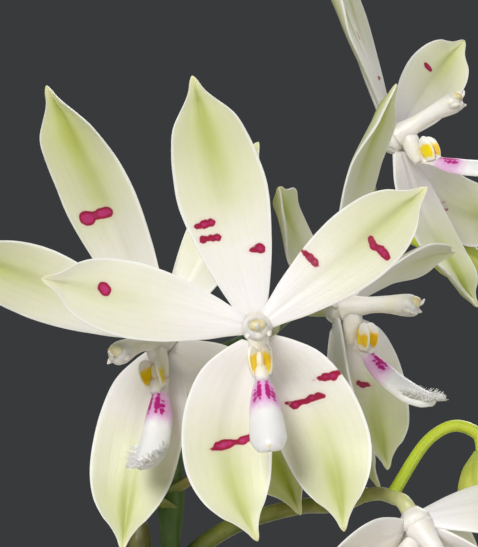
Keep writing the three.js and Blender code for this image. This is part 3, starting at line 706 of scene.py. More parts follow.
def callus_material():
    material, tree, shader = new_material(
        "callus", Subsurface_Weight=0.2, Subsurface_Scale=0.001, Roughness=0.3, Specular_IOR_Level=0.5,
    )
    across, along = reading_of(tree, "across"), reading_of(tree, "along")
    edge = maths(tree, "ABSOLUTE", across)
    place = put(tree, "ShaderNodeTexCoord").outputs["Object"]
    cloud = put(tree, "ShaderNodeTexNoise", {"Vector": place, "Scale": 700.0, "Detail": 3.0}).outputs[0]
    reach = maths(tree, "ADD", along, maths(tree, "MULTIPLY_ADD", cloud, 0.5, -0.25))
    patches = mottled(tree, 500.0, 0.5, "#FFE005", "#FCCD00")
    colour = mixed(tree, stepped(tree, reach, 0.1, 0.26), paint("#FAEFDC"), patches["Colour"])
    colour = mixed(tree, stepped(tree, reach, 0.6, 0.82), colour, paint("#FBF8F2"))
    colour = mixed(tree, stepped(tree, edge, 0.86, 1.0), colour, paint("#FBF5E0"))
    send(tree, shader["Base Color"], colour)
    relief(tree, shader, use(tree, GRAIN, Scale=2600.0, Roughness=0.55)["Height"], 0.06)
    return material


def column_material():
    material, tree, shader = new_material(
        "column", Subsurface_Weight=0.3, Subsurface_Scale=0.0012, Subsurface_Radius=(1.0, 0.9, 0.7),
        Roughness=0.34, Specular_IOR_Level=0.45,
    )
    patches = mottled(tree, 350.0, 0.3, "#FAF6F2", "#F4EEDC")
    along = reading_of(tree, "along")
    foot = product(tree, stepped(tree, along, 0.35, 0.0), 0.5)
    send(tree, shader["Base Color"], mixed(tree, foot, patches["Colour"], paint("#F3E9DC")))
    relief(tree, shader, use(tree, GRAIN, Scale=2200.0, Roughness=0.5)["Height"], 0.06)
    return material


def anther_material():
    material, tree, shader = new_material(
        "anther_cap", Subsurface_Weight=0.25, Subsurface_Scale=0.001, Roughness=0.4,
    )
    patches = mottled(tree, 900.0, 0.5, "#F4E9C6", "#E4CB92")
    send(tree, shader["Base Color"], patches["Colour"])
    relief(tree, shader, use(tree, GRAIN, Scale=3000.0, Roughness=0.5)["Height"], 0.08)
    return material


def leaf_material():
    material, tree, shader = new_material(
        "waxy_leaf", Coat_Weight=0.25, Coat_Roughness=0.22, Specular_IOR_Level=0.5,
        Subsurface_Weight=0.08, Subsurface_Scale=0.002, Subsurface_Radius=(0.5, 1.0, 0.3),
    )
    across, along, front = (reading_of(tree, name) for name in ("across", "along", "front"))
    edge = maths(tree, "ABSOLUTE", across)
    top = mottled(tree, 26.0, 0.2, "#2F5A1F", "#416F2A")["Colour"]
    dots = mottled(tree, 210.0, 0.75, "#2F5A1F", "#55803A")
    top = mixed(tree, 0.22, top, dots["Colour"])
    veins = use(tree, VEINS, Across=across, Along=along, Lines=46.0, Waver=1.2, Thinness=0.5)["Veins"]
    top = mixed(tree, product(tree, veins, 0.2), top, paint("#5E8A3D"))
    top = mixed(tree, product(tree, stepped(tree, edge, 0.05, 0.0), 0.6), top, paint("#7FA350"))
    under = mottled(tree, 40.0, 0.4, "#6B8A4A", "#7A6A55")["Colour"]
    colour = mixed(tree, stepped(tree, front, 0.55, 0.3), top, under)
    colour = mixed(tree, product(tree, stepped(tree, along, 0.16, 0.0), 0.55), colour, paint("#8BA757"))
    colour = mixed(tree, product(tree, stepped(tree, edge, 0.975, 0.998), 0.7), colour, paint("#8A9A55"))
    send(tree, shader["Base Color"], colour)
    fine = use(tree, GRAIN, Scale=1300.0, Roughness=0.55)["Height"]
    send(tree, shader["Roughness"], maths(tree, "MULTIPLY_ADD", fine, 0.24, 0.26))
    relief(tree, shader, maths(tree, "ADD", product(tree, veins, -0.8), product(tree, fine, 0.7)), 0.16)
    return material


def stalk_material(name, low, high, sheen):
    """Green skin of a stalk that goes from one colour at its start to another at its end. For the side branch
    the dark start colour is painted shade.
    """
    material, tree, shader = new_material(
        name, Subsurface_Weight=0.12, Subsurface_Scale=0.001, Specular_IOR_Level=0.5, Coat_Weight=sheen,
        Coat_Roughness=0.3,
    )
    along = reading_of(tree, "along")
    colour = mixed(tree, stepped(tree, along, 0.05, 0.95), paint(low), paint(high))
    patches = mottled(tree, 320.0, 0.5, low, high)["Colour"]
    send(tree, shader["Base Color"], mixed(tree, 0.25, colour, patches))
    fine = use(tree, GRAIN, Scale=1500.0, Roughness=0.55)["Height"]
    send(tree, shader["Roughness"], maths(tree, "MULTIPLY_ADD", fine, 0.25, 0.28))
    relief(tree, shader, fine, 0.12)
    return material


def bud_material(name, skin_colours, tip, foot):
    material, tree, shader = new_material(
        name, Subsurface_Weight=0.2, Subsurface_Scale=0.0015, Subsurface_Radius=(0.9, 1.0, 0.3),
        Specular_IOR_Level=0.45,
    )
    along = reading_of(tree, "along")
    seam = reading_of(tree, "seam")
    patches = mottled(tree, 260.0, 0.4, skin_colours[0], skin_colours[1])["Colour"]
    colour = mixed(tree, product(tree, stepped(tree, along, 0.75, 1.0), 0.75), patches, paint(tip))
    colour = mixed(tree, product(tree, stepped(tree, along, 0.25, 0.0), 0.6), colour, paint(foot))
    colour = mixed(tree, product(tree, seam, 0.45), colour, paint(foot))
    send(tree, shader["Base Color"], colour)
    fine = use(tree, GRAIN, Scale=1600.0, Roughness=0.55)["Height"]
    send(tree, shader["Roughness"], maths(tree, "MULTIPLY_ADD", fine, 0.25, 0.3))
    relief(tree, shader, fine, 0.1)
    return material


def sheath_material():
    material, tree, shader = new_material("dry_sheath", Specular_IOR_Level=0.35)
    across, along = reading_of(tree, "across"), reading_of(tree, "along")
    patches = mottled(tree, 130.0, 0.5, "#8FA159", "#6F7F3C")["Colour"]
    colour = mixed(tree, stepped(tree, along, 0.5, 0.05), patches, paint("#9C7F52"))
    edge = stepped(tree, maths(tree, "ABSOLUTE", across), 0.86, 0.99)
    colour = mixed(tree, product(tree, edge, 0.8), colour, paint("#A58A5C"))
    veins = use(tree, VEINS, Across=across, Along=along, Lines=40.0, Waver=1.0, Thinness=0.55)["Veins"]
    send(tree, shader["Base Color"], mixed(tree, product(tree, veins, 0.3), colour, paint("#5F6A34")))
    fine = use(tree, GRAIN, Scale=1300.0, Roughness=0.6)["Height"]
    send(tree, shader["Roughness"], maths(tree, "MULTIPLY_ADD", fine, 0.3, 0.45))
    relief(tree, shader, maths(tree, "ADD", product(tree, veins, -0.8), fine), 0.16)
    return material


def root_material():
    material, tree, shader = new_material("velvet_root", Sheen_Weight=0.25, Sheen_Roughness=0.6)
    along, growing = reading_of(tree, "along"), reading_of(tree, "growing")
    silver = mottled(tree, 220.0, 0.4, "#BCC3AE", "#8E9C76")
    stains = mottled(tree, 70.0, 0.8, "#BCC3AE", "#8A7654")
    colour = mixed(tree, product(tree, stains["Patches"], 0.35), silver["Colour"], paint("#8F7F5E"))
    colour = mixed(tree, product(tree, growing, stepped(tree, along, 0.86, 0.93)), colour, paint("#7FA43A"))
    point = product(tree, growing, stepped(tree, along, 0.965, 1.0), 0.5)
    colour = mixed(tree, point, colour, paint("#8C5A48"))
    send(tree, shader["Base Color"], colour)
    tip = product(tree, growing, stepped(tree, along, 0.88, 0.94))
    send(tree, shader["Roughness"], maths(tree, "MULTIPLY_ADD", tip, -0.5, 0.85))
    fine = use(tree, GRAIN, Scale=1100.0, Roughness=0.65)["Height"]
    relief(tree, shader, fine, 0.3)
    return material


def bark_material():
    material, tree, shader = new_material("orchid_bark", Specular_IOR_Level=0.3, Roughness=0.85)
    tone = reading_of(tree, "tone")
    dark = mottled(tree, 120.0, 0.5, "#3E281A", "#6A4429")["Colour"]
    light = mottled(tree, 150.0, 0.4, "#7A5235", "#A3764C")["Colour"]
    colour = mixed(tree, tone, dark, light)
    dust = mottled(tree, 420.0, 0.7, "#000000", "#FFFFFF")["Patches"]
    colour = mixed(tree, product(tree, dust, 0.25), colour, paint("#B09A7C"))
    send(tree, shader["Base Color"], colour)
    place = put(tree, "ShaderNodeTexCoord").outputs["Object"]
    layers = put(tree, "ShaderNodeTexWave",
                 {"Vector": place, "Scale": 240.0, "Distortion": 9.0, "Detail": 4.0},
                 wave_type="BANDS", bands_direction="DIAGONAL").outputs[1]
    fine = use(tree, GRAIN, Scale=900.0, Roughness=0.7)["Height"]
    relief(tree, shader, maths(tree, "MULTIPLY_ADD", layers, 0.5, fine), 0.6)
    return material


def clay_material():
    material, tree, shader = new_material("fired_clay", Specular_IOR_Level=0.3)
    place = put(tree, "ShaderNodeTexCoord").outputs["Object"]
    height = put(tree, "ShaderNodeSeparateXYZ", {0: place}).outputs["Z"]
    clay = mottled(tree, 22.0, 0.2, "#B4633B", "#C67A4E")
    specks = mottled(tree, 900.0, 0.85, "#B4633B", "#8E4527")
    colour = mixed(tree, 0.2, clay["Colour"], specks["Colour"])
    bloom = mottled(tree, 40.0, 0.3, "#000000", "#FFFFFF")["Patches"]
    low = stepped(tree, height, 0.034, 0.002)
    rim = product(tree, stepped(tree, height, 0.07, 0.076), stepped(tree, height, 0.098, 0.084))
    lime = maths(tree, "ADD", product(tree, low, 0.45), product(tree, rim, 0.25))
    colour = mixed(tree, product(tree, bloom, maths(tree, "ADD", lime, 0.12)), colour, paint("#E2CDB8"))
    send(tree, shader["Base Color"], colour)
    fine = use(tree, GRAIN, Scale=1400.0, Roughness=0.7)["Height"]
    send(tree, shader["Roughness"], maths(tree, "MULTIPLY_ADD", fine, 0.2, 0.72))
    turning = put(tree, "ShaderNodeTexWave",
                  {"Vector": place, "Scale": 75.0, "Distortion": 1.2, "Detail": 2.0},
                  wave_type="BANDS", bands_direction="Z").outputs[1]
    relief(tree, shader, maths(tree, "MULTIPLY_ADD", turning, 0.35, fine), 0.3)
    return material


PETAL = tepal_material()
LIP = lip_material()
CALLUS = callus_material()
COLUMN = column_material()
ANTHER = anther_material()
LEAF = leaf_material()
SPIKE = stalk_material("spike_skin", "#2C481A", "#55752A", 0.15)
# The side branch's dark green start is painted shade, for its part in shadow behind the blooms; its end is
# its own olive.
BRANCH = stalk_material("branch_skin_and_painted_shade", "#2C481A", "#A2A03C", 0.15)
PEDICEL = stalk_material("pedicel_skin", "#9A9C3C", "#D2D39A", 0.12)
BUD_STALK = stalk_material("bud_stalk_skin", "#A9BE1E", "#C8D43C", 0.2)
BRACT = stalk_material("bract_skin", "#6E7F2E", "#A58D50", 0.0)
STEM = stalk_material("stem_skin", "#6B7A3A", "#7F9A45", 0.1)
BUD = bud_material("bud", ("#B9C04A", "#D3D56C"), "#8E7A35", "#8FA638")
# Colours for the smallest bud: its dark greens are painted shade, for a bud lying in shadow low behind the
# spike.
SHADED_BUD = bud_material("shaded_bud", ("#565B28", "#6F6A38"), "#5E4A2C", "#44501F")
SHEATH = sheath_material()
ROOT = root_material()
BARK = bark_material()
CLAY = clay_material()


# Blooms

def bloom_axes(bloom):
    facing = Vector(bloom["facing"]).normalized()
    up = Vector(bloom["up"])
    up = (up - facing * up.dot(facing)).normalized()
    return Vector(bloom["centre"]), facing, up, up.cross(facing)


def bloom_point(bloom, forward, upward, sideways=0):
    centre, facing, up, right = bloom_axes(bloom)
    return centre + facing * forward + up * upward + right * sideways


def bloom_line(bloom, *places):
    return [bloom_point(bloom, *place) for place in places]


def bar_distance(bars, length):
    """How far a place on a petal lies outside its nearest bar; below nought inside one."""
    spots = [[(share * length, offset, radius) for share, offset, radius in chain] for chain in bars]
    softness = 0.14

    def distance(t, across, depth, half):
        nearest = 9
        for chain in spots:
            total = 0
            for ahead, offset, radius in chain:
                gap = math.hypot(t * length - ahead, across * half - offset) - radius
                total += math.exp(-min(gap, 5) / softness)
            nearest = min(nearest, -softness * math.log(total + 1e-12))
        return nearest + 0.15 * eased(-depth, 0, 0.3)

    return distance


def tepal(bloom, entry, name):
    centre, facing = bloom_axes(bloom)[:2]
    shape = entry["shape"]
    outward = Vector(entry["tip"])
    outward = (outward - facing * outward.dot(facing)).normalized()
    set_back = 0.2 if shape == "petal" else 0.7
    lower = SEPAL_BASE_DOWN if shape == "sepal" else 0
    base = bloom_point(bloom, -set_back, -lower) + outward * TEPAL_RING
    to_tip = centre + Vector(entry["tip"]) - base
    length = to_tip.length
    axis = to_tip.normalized()
    normal = (facing - axis * facing.dot(axis)).normalized()
    normal = Matrix.Rotation(math.radians(entry["twist"]), 3, axis) @ normal
    side = axis.cross(normal)
    seed = centre.x + 3.1 * entry["tip"][0] + 1.7 * entry["tip"][2]

    def spine(t):
        bend = math.sin(math.pi * t)
        return base + axis * (length * t) + side * (entry["bow"] * length * bend) + normal * (
            0.5 * eased(t, 0.86, 1) - entry.get("arch", 0.05) * length * bend)

    def lift(t, across, half):
        hollow = 0.1 + 0.35 * eased(t, 0.6, 0.95)
        groove = GROOVE_DEPTH * math.exp(-(across / 0.13) ** 2)
        groove *= 0.45 + 0.55 * eased(t, 0.5, 0.9)
        groove *= min(half / 2, 1)
        wave = 0.09 * half * noise.noise(Vector((2.6 * t + seed, 1.1 * across, 0.37 * seed)))
        return hollow * half * across ** 2 - groove + wave

    distance = bar_distance(entry.get("bars", []), length)
    return blade(
        name, PETAL, spine, lambda t: normal,
        lambda t: WIDTHS[shape] / 2 * outline_at(OUTLINES[shape], t),
        lift,
        lambda t, across: TEPAL_THICKNESS * (1 - 0.5 * eased(t, 0.82, 1)) * (1 - 0.25 * across ** 2),
        TEPAL_ROWS, TEPAL_SIDES,
        {"bar": distance, "green": lambda t, across, depth, half: entry["green"]},
    )


def bloom_tepals(bloom, number):
    pieces = [tepal(bloom, entry, f"tepal_{index}") for index, entry in enumerate(bloom["tepals"])]
    middle = bloom_line(bloom, (0.4, 0), (-0.8, 0), (-RECEPTACLE_BACK, 0))
    pieces.append(tube("receptacle", COLUMN, middle, RECEPTACLE_RADIUS, 12, 24,
                       ((0, 0.7), (0.4, 1), (1, 0.65))))
    foot = bloom_line(bloom, (-1.1, 0.5), (-0.9, -SEPAL_BASE_DOWN - 1))
    pieces.append(tube("foot", COLUMN, foot, RECEPTACLE_RADIUS * 0.7, 12, 20,
                       ((0, 0.8), (0.3, 1), (0.7, 0.9), (1, 0.35))))
    dressed(joined(f"bloom_{number}_sepals_and_petals", pieces), "petal", f"bloom_{number}_tepals")


def bloom_column(bloom, number):
    facing, up, right = bloom_axes(bloom)[1:]
    end = COLUMN_START + COLUMN_LENGTH
    line = bloom_line(bloom, (0.2, 0), (end / 2, 0.25), (end, 0))
    body = tube("column_body", COLUMN, line, COLUMN_RADIUS, 44, 28,
                ((0, 1.3), (0.15, 1.02), (0.35, 0.76), (0.6, 0.8), (0.87, 1.02), (0.96, 0.88), (1, 0.5)))
    foot_line = bloom_line(bloom, (1.3, 0.2), (1.3, -1.4), (1.15, -2.9), (1.1, -4.3))
    foot = tube("column_foot", COLUMN, foot_line, 1.15, 24, 20, ((0, 0.8), (0.35, 1), (0.7, 0.85), (1, 0.5)))
    cap = ball("anther", ANTHER, bloom_point(bloom, end - 0.6, 0.42), right * 1.05, up * 0.78, facing * 1.1)
    stigma = ball("stigma", COLUMN, bloom_point(bloom, end - 0.7, -0.62),
                  right * 0.85, up * 0.62, facing * 0.8, 18)
    beak_line = bloom_line(bloom, (end, 0.1), (end + 0.6, 0.3), (end + 0.95, 0.75))
    beak = tube("beak", COLUMN, beak_line, 0.24, 10, 12, ((0, 1), (0.6, 0.8), (1, 0.35)))
    pieces = [body, foot, cap, beak, stigma]
    for hand in (-1, 1):
        tooth = bloom_line(bloom, (end - 1.5, -0.4, hand * 0.75), (end - 0.7, -0.5, hand * 1.15),
                           (end, -0.75, hand * 1.2))
        pieces.append(tube("tooth", COLUMN, tooth, 0.36, 12, 14, ((0, 0.8), (0.5, 1), (1, 0.3))))
    dressed(joined(f"bloom_{number}_column", pieces), "column", f"bloom_{number}_column")


LIP_STRIPES = [
    [(0.2, 0.4, 0.16), (0.25, 0.44, 0.26), (0.3, 0.47, 0.3), (0.35, 0.5, 0.28), (0.4, 0.5, 0.15)],
    [(0.27, 0.93, 0.13), (0.32, 1, 0.22), (0.37, 1.05, 0.22), (0.41, 1.1, 0.12)],
    [(0.15, 0.36, 0.14)],
]


def bloom_lip(bloom, number, hair):
    facing, up, right = bloom_axes(bloom)[1:]
    droop = math.radians(bloom["droop"])
    out = facing * math.cos(droop) - up * math.sin(droop)
    face = facing * math.sin(droop) + up * math.cos(droop)
    hinge = bloom_point(bloom, LIP_HINGE_FORWARD, -LIP_HINGE_DOWN)

    def middle_spine(t):
        return hinge + out * (LIP_LENGTH * t) + face * (0.8 * t ** 3 - 0.4 * math.sin(math.pi * t))

    both = [
        [(t, hand * offset, radius) for t, offset, radius in chain]
        for chain in LIP_STRIPES for hand in (-1, 1)
    ]
    pieces = [blade(
        "mid_lobe", LIP, middle_spine, lambda t: face,
        lambda t: 2 * outline_at(OUTLINES["lobe"], t),
        lambda t, across, half: -0.5 * half * across ** 2,
        lambda t, across: 1.2 + 0.45 * eased(t, 0.15, 0.4),
        90, 64, {"bar": bar_distance(both, LIP_LENGTH)}, tip=0.1,
    )]
    for hand in (-1, 1):
        outward = right * (0.87 * hand) - facing * 0.5
        pieces.append(blade(
            "side_lobe", CALLUS,
            lambda t, hand=hand: bloom_point(bloom, 2.7 + 0.6 * t, -5.1 + 3.3 * t, hand * (0.5 + 0.35 * t)),
            lambda t, outward=outward: outward,
            lambda t: 1.15 * outline_at(OUTLINES["side lobe"], t),
            lambda t, across, half: 0.25 * half * (1 - across ** 2),
            lambda t, across: 0.62,
            36, 32, tip=0.2,
        ))
    pieces.append(ball("callus", CALLUS, bloom_point(bloom, 2.5, -3.6),
                       right * 0.5, up * 1.1, facing * 0.6, 20))
    claw = bloom_line(bloom, (1.7, -3.9), (2.6, -4.7), (3.7, -5.6))
    pieces.append(tube("claw", COLUMN, claw, 0.85, 16, 20, ((0, 0.6), (0.5, 1), (1, 0.7))))
    random.seed(40 + number)
    for _ in range(HAIRS_PER_LIP if number > 1 else 0):
        t = 0.66 + 0.335 * random.random() ** 0.55
        across = random.choice((-1, 1)) * (1 - (0.25 + 0.75 * eased(t, 0.78, 0.92)) * random.random() ** 1.6)
        half = 2 * outline_at(OUTLINES["lobe"], t)
        root = middle_spine(t) + right * (0.95 * half * across) + face * (0.5 - 0.5 * half * across ** 2)
        aim = face * random.uniform(0.5, 1) + right * (0.8 * across) + out * random.uniform(0, 0.8)
        copy = twin(hair)
        turn = aim.normalized().to_track_quat("Z", "Y").to_matrix().to_4x4()
        length = random.uniform(0.6, 1.25)
        copy.data.transform(Matrix.Scale(MM, 4) @ Matrix.Translation(root) @ turn @ Matrix.Scale(length, 4))
        pieces.append(copy)
    dressed(joined(f"bloom_{number}_lip", pieces), "lip", f"bloom_{number}_lip")


def lip_hair():
    """One fine hair, a millimetre tall before it is placed."""
    deselect()
    bpy.ops.mesh.primitive_cone_add(vertices=4, radius1=0.05, radius2=0.015, depth=1, location=(0, 0, 0.45))
    hair = bpy.context.object
    bpy.ops.object.transform_apply()
    hair.data.materials.append(LIP_HAIR)
    return hair


def hair_material():
    material, tree, shader = new_material("lip_hair", Roughness=0.7)
    patches = mottled(tree, 600.0, 0.4, "#FFFFFF", "#FBF7EF")
    send(tree, shader["Base Color"], patches["Colour"])
    return material


LIP_HAIR = hair_material()


# Spike, pedicels and buds

def bud_foot(entry, distance):
    return Vector(entry["path"][-1]) + Vector(entry["aim"]).normalized() * (BUD_SEAT + distance)


def node_swelling(share, turn, point):
    """Spike thickened where a bract grows from it."""
    swell = 0
    for at, _ in BRACTS:
        swell += 0.28 * math.exp(-((point - Vector(at)).length / 2.2) ** 2)
    return 1 + min(swell, 0.35) + 0.03 * noise.noise(Vector((point.x, point.y, 0.3 * point.z)))


def ribbed(share, turn, point):
    """Pedicel with three low ribs towards its bloom."""
    return 1 + 0.07 * eased(share, 0.3, 0.8) * math.cos(6 * math.pi * turn + 4 * share)


def flower_stalks():
    spike = tube("spike", SPIKE, SPIKE_PATH, SPIKE_RADIUS, 190, 24,
                 ((0, 1.25), (0.3, 1), (1, 0.6)), node_swelling)
    dressed(spike, "spike", "flower_spike")
    branch = tube("side_branch", BRANCH, BRANCH_PATH, SPIKE_RADIUS, 70, 20,
                  ((0, 0.8), (1, 0.5)), node_swelling)
    dressed(branch, "spike", "flower_spike")
    for number, entry in enumerate(PEDICELS, 1):
        bloom = BLOOMS[entry["bloom"]]
        path = [*entry["path"], bloom_point(bloom, -entry.get("approach", PEDICEL_APPROACH), 0),
                bloom_point(bloom, -RECEPTACLE_BACK + 0.5, 0)]
        piece = tube(f"pedicel_{number}", PEDICEL, path, PEDICEL_RADIUS, 60, 24,
                     ((0, 0.95), (0.7, 1), (1, 1.2)), ribbed)
        dressed(piece, "spike", "flower_spike")
    for number, entry in enumerate(BUDS, 1):
        path = [*entry["path"], bud_foot(entry, 0.6)]
        piece = tube(f"bud_stalk_{number}", BUD_STALK, path, PEDICEL_RADIUS * 0.85, 44, 18,
                     ((0, 1.05), (0.5, 0.95), (1, 1.1)))
        dressed(piece, "spike", "flower_spike")
    pieces = [bract(at, away) for at, away in BRACTS]
    dressed(joined("bracts", pieces), "spike", "flower_spike")


def bract(at, away):
    start, direction = Vector(at), Vector(away).normalized()
    facing = Vector((-direction.z * direction.x, -direction.z * direction.y, 1)).normalized()
    return blade(
        "bract", BRACT, lambda t: start + direction * (4.6 * t), lambda t: facing,
        lambda t: 1.6 * outline_at(OUTLINES["bract"], t),
        lambda t, across, half: 0.6 * across ** 2,
        lambda t, across: 0.6, 20, 20, tip=0.15,
    )


def bud(entry, number):
    line = [bud_foot(entry, 0.3), bud_foot(entry, entry["length"] / 2), bud_foot(entry, entry["length"])]

    def three_sided(share, turn, point):
        seam = abs(math.sin(1.5 * 2 * math.pi * turn + 0.8 * share))
        return 0.93 + 0.07 * seam ** 0.5

    def seam_line(turn, row):
        return 1 - eased(abs(math.sin(3 * math.pi * turn + 0.8 * row / 60)), 0, 0.25)

    # The smallest bud takes the darker colours of painted shade.
    skin_kind = SHADED_BUD if entry["radius"] < 1.6 else BUD
    piece = tube(f"bud_{number}", skin_kind, line, entry["radius"], 60, 60, OUTLINES["bud"], three_sided,
                 {"seam": seam_line})
    dressed(piece, "bud", f"bud_{number}")


# Leaves, stem and roots

def leaf(entry, number):
    heading = math.radians(entry["turn"])
    outward = Vector((math.cos(heading), math.sin(heading), 0))

    def at(distance, height):
        return outward * distance + Vector((0, 0, height))

    start, rise, reach, out = entry["from"], entry["rise"], entry["reach"], entry["out"]
    corners = [at(out, start), at(out + 0.16 * reach, start + 0.75 * rise),
               at(out + 0.55 * reach, start + 1.25 * rise), at(out + reach, start + rise - entry["drop"])]

    def spine(t):
        shares = ((1 - t) ** 3, 3 * t * (1 - t) ** 2, 3 * t ** 2 * (1 - t), t ** 3)
        return sum((corner * share for corner, share in zip(corners, shares)), Vector())

    def lift(t, across, half):
        fold = 0.62 - 0.42 * eased(t, 0, 0.45)
        wave = 0.035 * half * noise.noise(Vector((3.4 * t, 1.3 * across, number))) * eased(t, 0.1, 0.4)
        return fold * half * (math.hypot(across, 0.05) - 0.05) + 2 * wave

    tilt = at(-1, 1.4).normalized()
    piece = blade(
        f"leaf_{number}", LEAF, spine, lambda t: tilt,
        lambda t: entry["width"] / 2 * outline_at(OUTLINES["leaf"], t),
        lift,
        lambda t, across: 2.3 - 1.1 * abs(across),
        96, 64, tip=0.06, ease=1.3,
    )
    dressed(piece, "leaf", f"leaf_{number}")


def leaf_sheath(entry):
    """The clasping foot of a leaf, wrapped round the stem."""
    heading = math.radians(entry["turn"])
    top, bottom = entry["from"] + 5, entry["from"] - 13
    rows, sides = 22, 56

    def place(turn, row):
        share = min(max(row - 1, 0), rows - 2) / (rows - 2)
        closing = 0 if row in (0, rows) else 1
        across, depth = math.cos(2 * math.pi * turn), math.sin(2 * math.pi * turn)
        spread = math.radians(128 - 62 * share ** 1.5)
        angle = heading + spread * across
        centre = outline_at(
            STEM_PROFILE, (bottom + (top - bottom) * share - STEM_BOTTOM) / (STEM_TOP - STEM_BOTTOM),
        )
        radius = STEM_RADIUS * centre + 0.7 + 2.2 * share ** 2 + 0.5 * depth * closing
        height = bottom + (top - bottom) * share - 2.5 * across ** 2 * share
        return Vector((radius * math.cos(angle), radius * math.sin(angle), height))

    readings = {
        "across": lambda turn, row: math.cos(2 * math.pi * turn),
        "along": lambda turn, row: row / rows,
    }
    return skin("sheath", SHEATH, sides, rows, place, readings)


def stem_swelling(share, turn, point):
    """Slight unevenness all round the stem."""
    angle = 6.28 * turn
    return 1 + 0.04 * noise.noise(Vector((3 * math.cos(angle), 3 * math.sin(angle), point.z / 6)))


def stem():
    line = [(0, 0, STEM_BOTTOM), (0, 0, (STEM_BOTTOM + STEM_TOP) / 2), (0, 0, STEM_TOP)]
    core = tube("stem_core", STEM, line, STEM_RADIUS, 50, 40, STEM_PROFILE, stem_swelling)
    sheaths = [leaf_sheath(entry) for entry in LEAVES]
    dressed(core, "stem", "stem")
    dressed(joined("leaf_sheaths", sheaths), "stem", "stem")


def root(entry, number):
    heading = math.radians(entry["turn"])
    path = []
    for index, (distance, height) in enumerate(entry["path"]):
        swerve = heading + 0.09 * math.sin(index * 1.9 + entry["turn"])
        path.append((distance * math.cos(swerve), distance * math.sin(swerve), height))
    outside = path[-1][2] < 70 and entry["path"][-1][0] > POT_MOUTH_RADIUS

    def knobbly(share, turn, point):
        angle = 6.28 * turn
        around = Vector((math.cos(angle), math.sin(angle), number)) * 0.4
        bumps = noise.noise(Vector(point) / 5 + around)
        return 1 + 0.1 * bumps * (1 - eased(share, 0.85, 1))

    profile = ((0, 1.1), (0.8, 1), (0.95, 0.95), (0.985, 0.75), (1, 0.35))
    piece = tube(f"root_{number}", ROOT, path, ROOT_RADIUS, 26 * len(path), 26, profile, knobbly,
                 {"growing": lambda turn, row: 1.0 if outside else 0.0})
    dressed(piece, "root", f"root_{number}")


# Pot and bark

def clay_pot():
    wall_slope = (POT_MOUTH_RADIUS - POT_FOOT_RADIUS) / POT_HEIGHT
    rim_foot = POT_HEIGHT - POT_RIM_HEIGHT
    outline = [
        (POT_FOOT_RADIUS, 0), (POT_FOOT_RADIUS + 0.5 * rim_foot * wall_slope, 0.5 * rim_foot),
        (POT_FOOT_RADIUS + rim_foot * wall_slope, rim_foot), (POT_RIM_RADIUS - 0.3, rim_foot),
        (POT_RIM_RADIUS, POT_HEIGHT), (POT_MOUTH_RADIUS - 1, POT_HEIGHT),
        (POT_MOUTH_RADIUS - POT_WALL, POT_HEIGHT - 3), (POT_FOOT_RADIUS - POT_WALL, POT_WALL + 2),
    ]
    deselect()
    bpy.ops.mesh.primitive_circle_add(vertices=128, radius=outline[0][0] * MM, fill_type="NGON")
    pot = bpy.context.object
    pot.name = "clay_pot"
    bpy.ops.object.mode_set(mode="EDIT")
    bpy.ops.mesh.select_all(action="SELECT")
    for (radius, height), (next_radius, next_height) in zip(outline, outline[1:]):
        rise = (0, 0, (next_height - height) * MM)
        bpy.ops.mesh.extrude_region_move(TRANSFORM_OT_translate={"value": rise})
        ratio = next_radius / radius
        bpy.ops.transform.resize(value=(ratio, ratio, 1))
    bpy.ops.mesh.select_all(action="SELECT")
    bpy.ops.mesh.normals_make_consistent(inside=False)
    bpy.ops.object.mode_set(mode="OBJECT")
    rounding = pot.modifiers.new("rounding", "BEVEL")
    rounding.width = 1.3 * MM
    rounding.segments = 3
    rounding.angle_limit = math.radians(25)
    bpy.ops.object.modifier_apply(modifier="rounding")
    for index in range(DRAIN_HOLES):
        angle = 2 * math.pi * (index + 0.5) / DRAIN_HOLES
        place = (DRAIN_HOLE_RING * math.cos(angle) * MM, DRAIN_HOLE_RING * math.sin(angle) * MM, 4 * MM)
        deselect()
        bpy.ops.mesh.primitive_cylinder_add(
            vertices=40, radius=DRAIN_HOLE_RADIUS * MM, depth=20 * MM, location=place,
        )
        drill = bpy.context.object
        cut = pot.modifiers.new("drain", "BOOLEAN")
        cut.object = drill
        cut.solver = "EXACT"
        deselect()
        pot.select_set(True)
        bpy.context.view_layer.objects.active = pot
        bpy.ops.object.modifier_apply(modifier="drain")
        bpy.data.objects.remove(drill)
    pot.data.materials.clear()
    pot.data.materials.append(CLAY)
    bpy.ops.object.shade_smooth_by_angle(angle=math.radians(35))
    dressed(pot, "clay", "pot")


def bark_chip(seed):
    """One rough flat chip about a unit long, made at the origin."""
    deselect()
    bpy.ops.mesh.primitive_cube_add(size=1)
    chip = bpy.context.object
    chip.scale = (1, 0.62, 0.3)
    bpy.ops.object.transform_apply(location=False, rotation=False, scale=True)
    bpy.ops.object.mode_set(mode="EDIT")
    bpy.ops.mesh.select_all(action="SELECT")
    bpy.ops.mesh.bevel(offset=0.06, segments=1)
    bpy.ops.mesh.subdivide(number_cuts=3)
    bpy.ops.object.mode_set(mode="OBJECT")
    for vertex in chip.data.vertices:
        spot = vertex.co * 3.1 + Vector((seed, 0, 0))
        vertex.co += 0.1 * noise.noise_vector(spot) + 0.04 * noise.noise_vector(spot * 3.3)
        vertex.co.z += 0.06 * math.sin(2.4 * vertex.co.x + seed)
    return chip


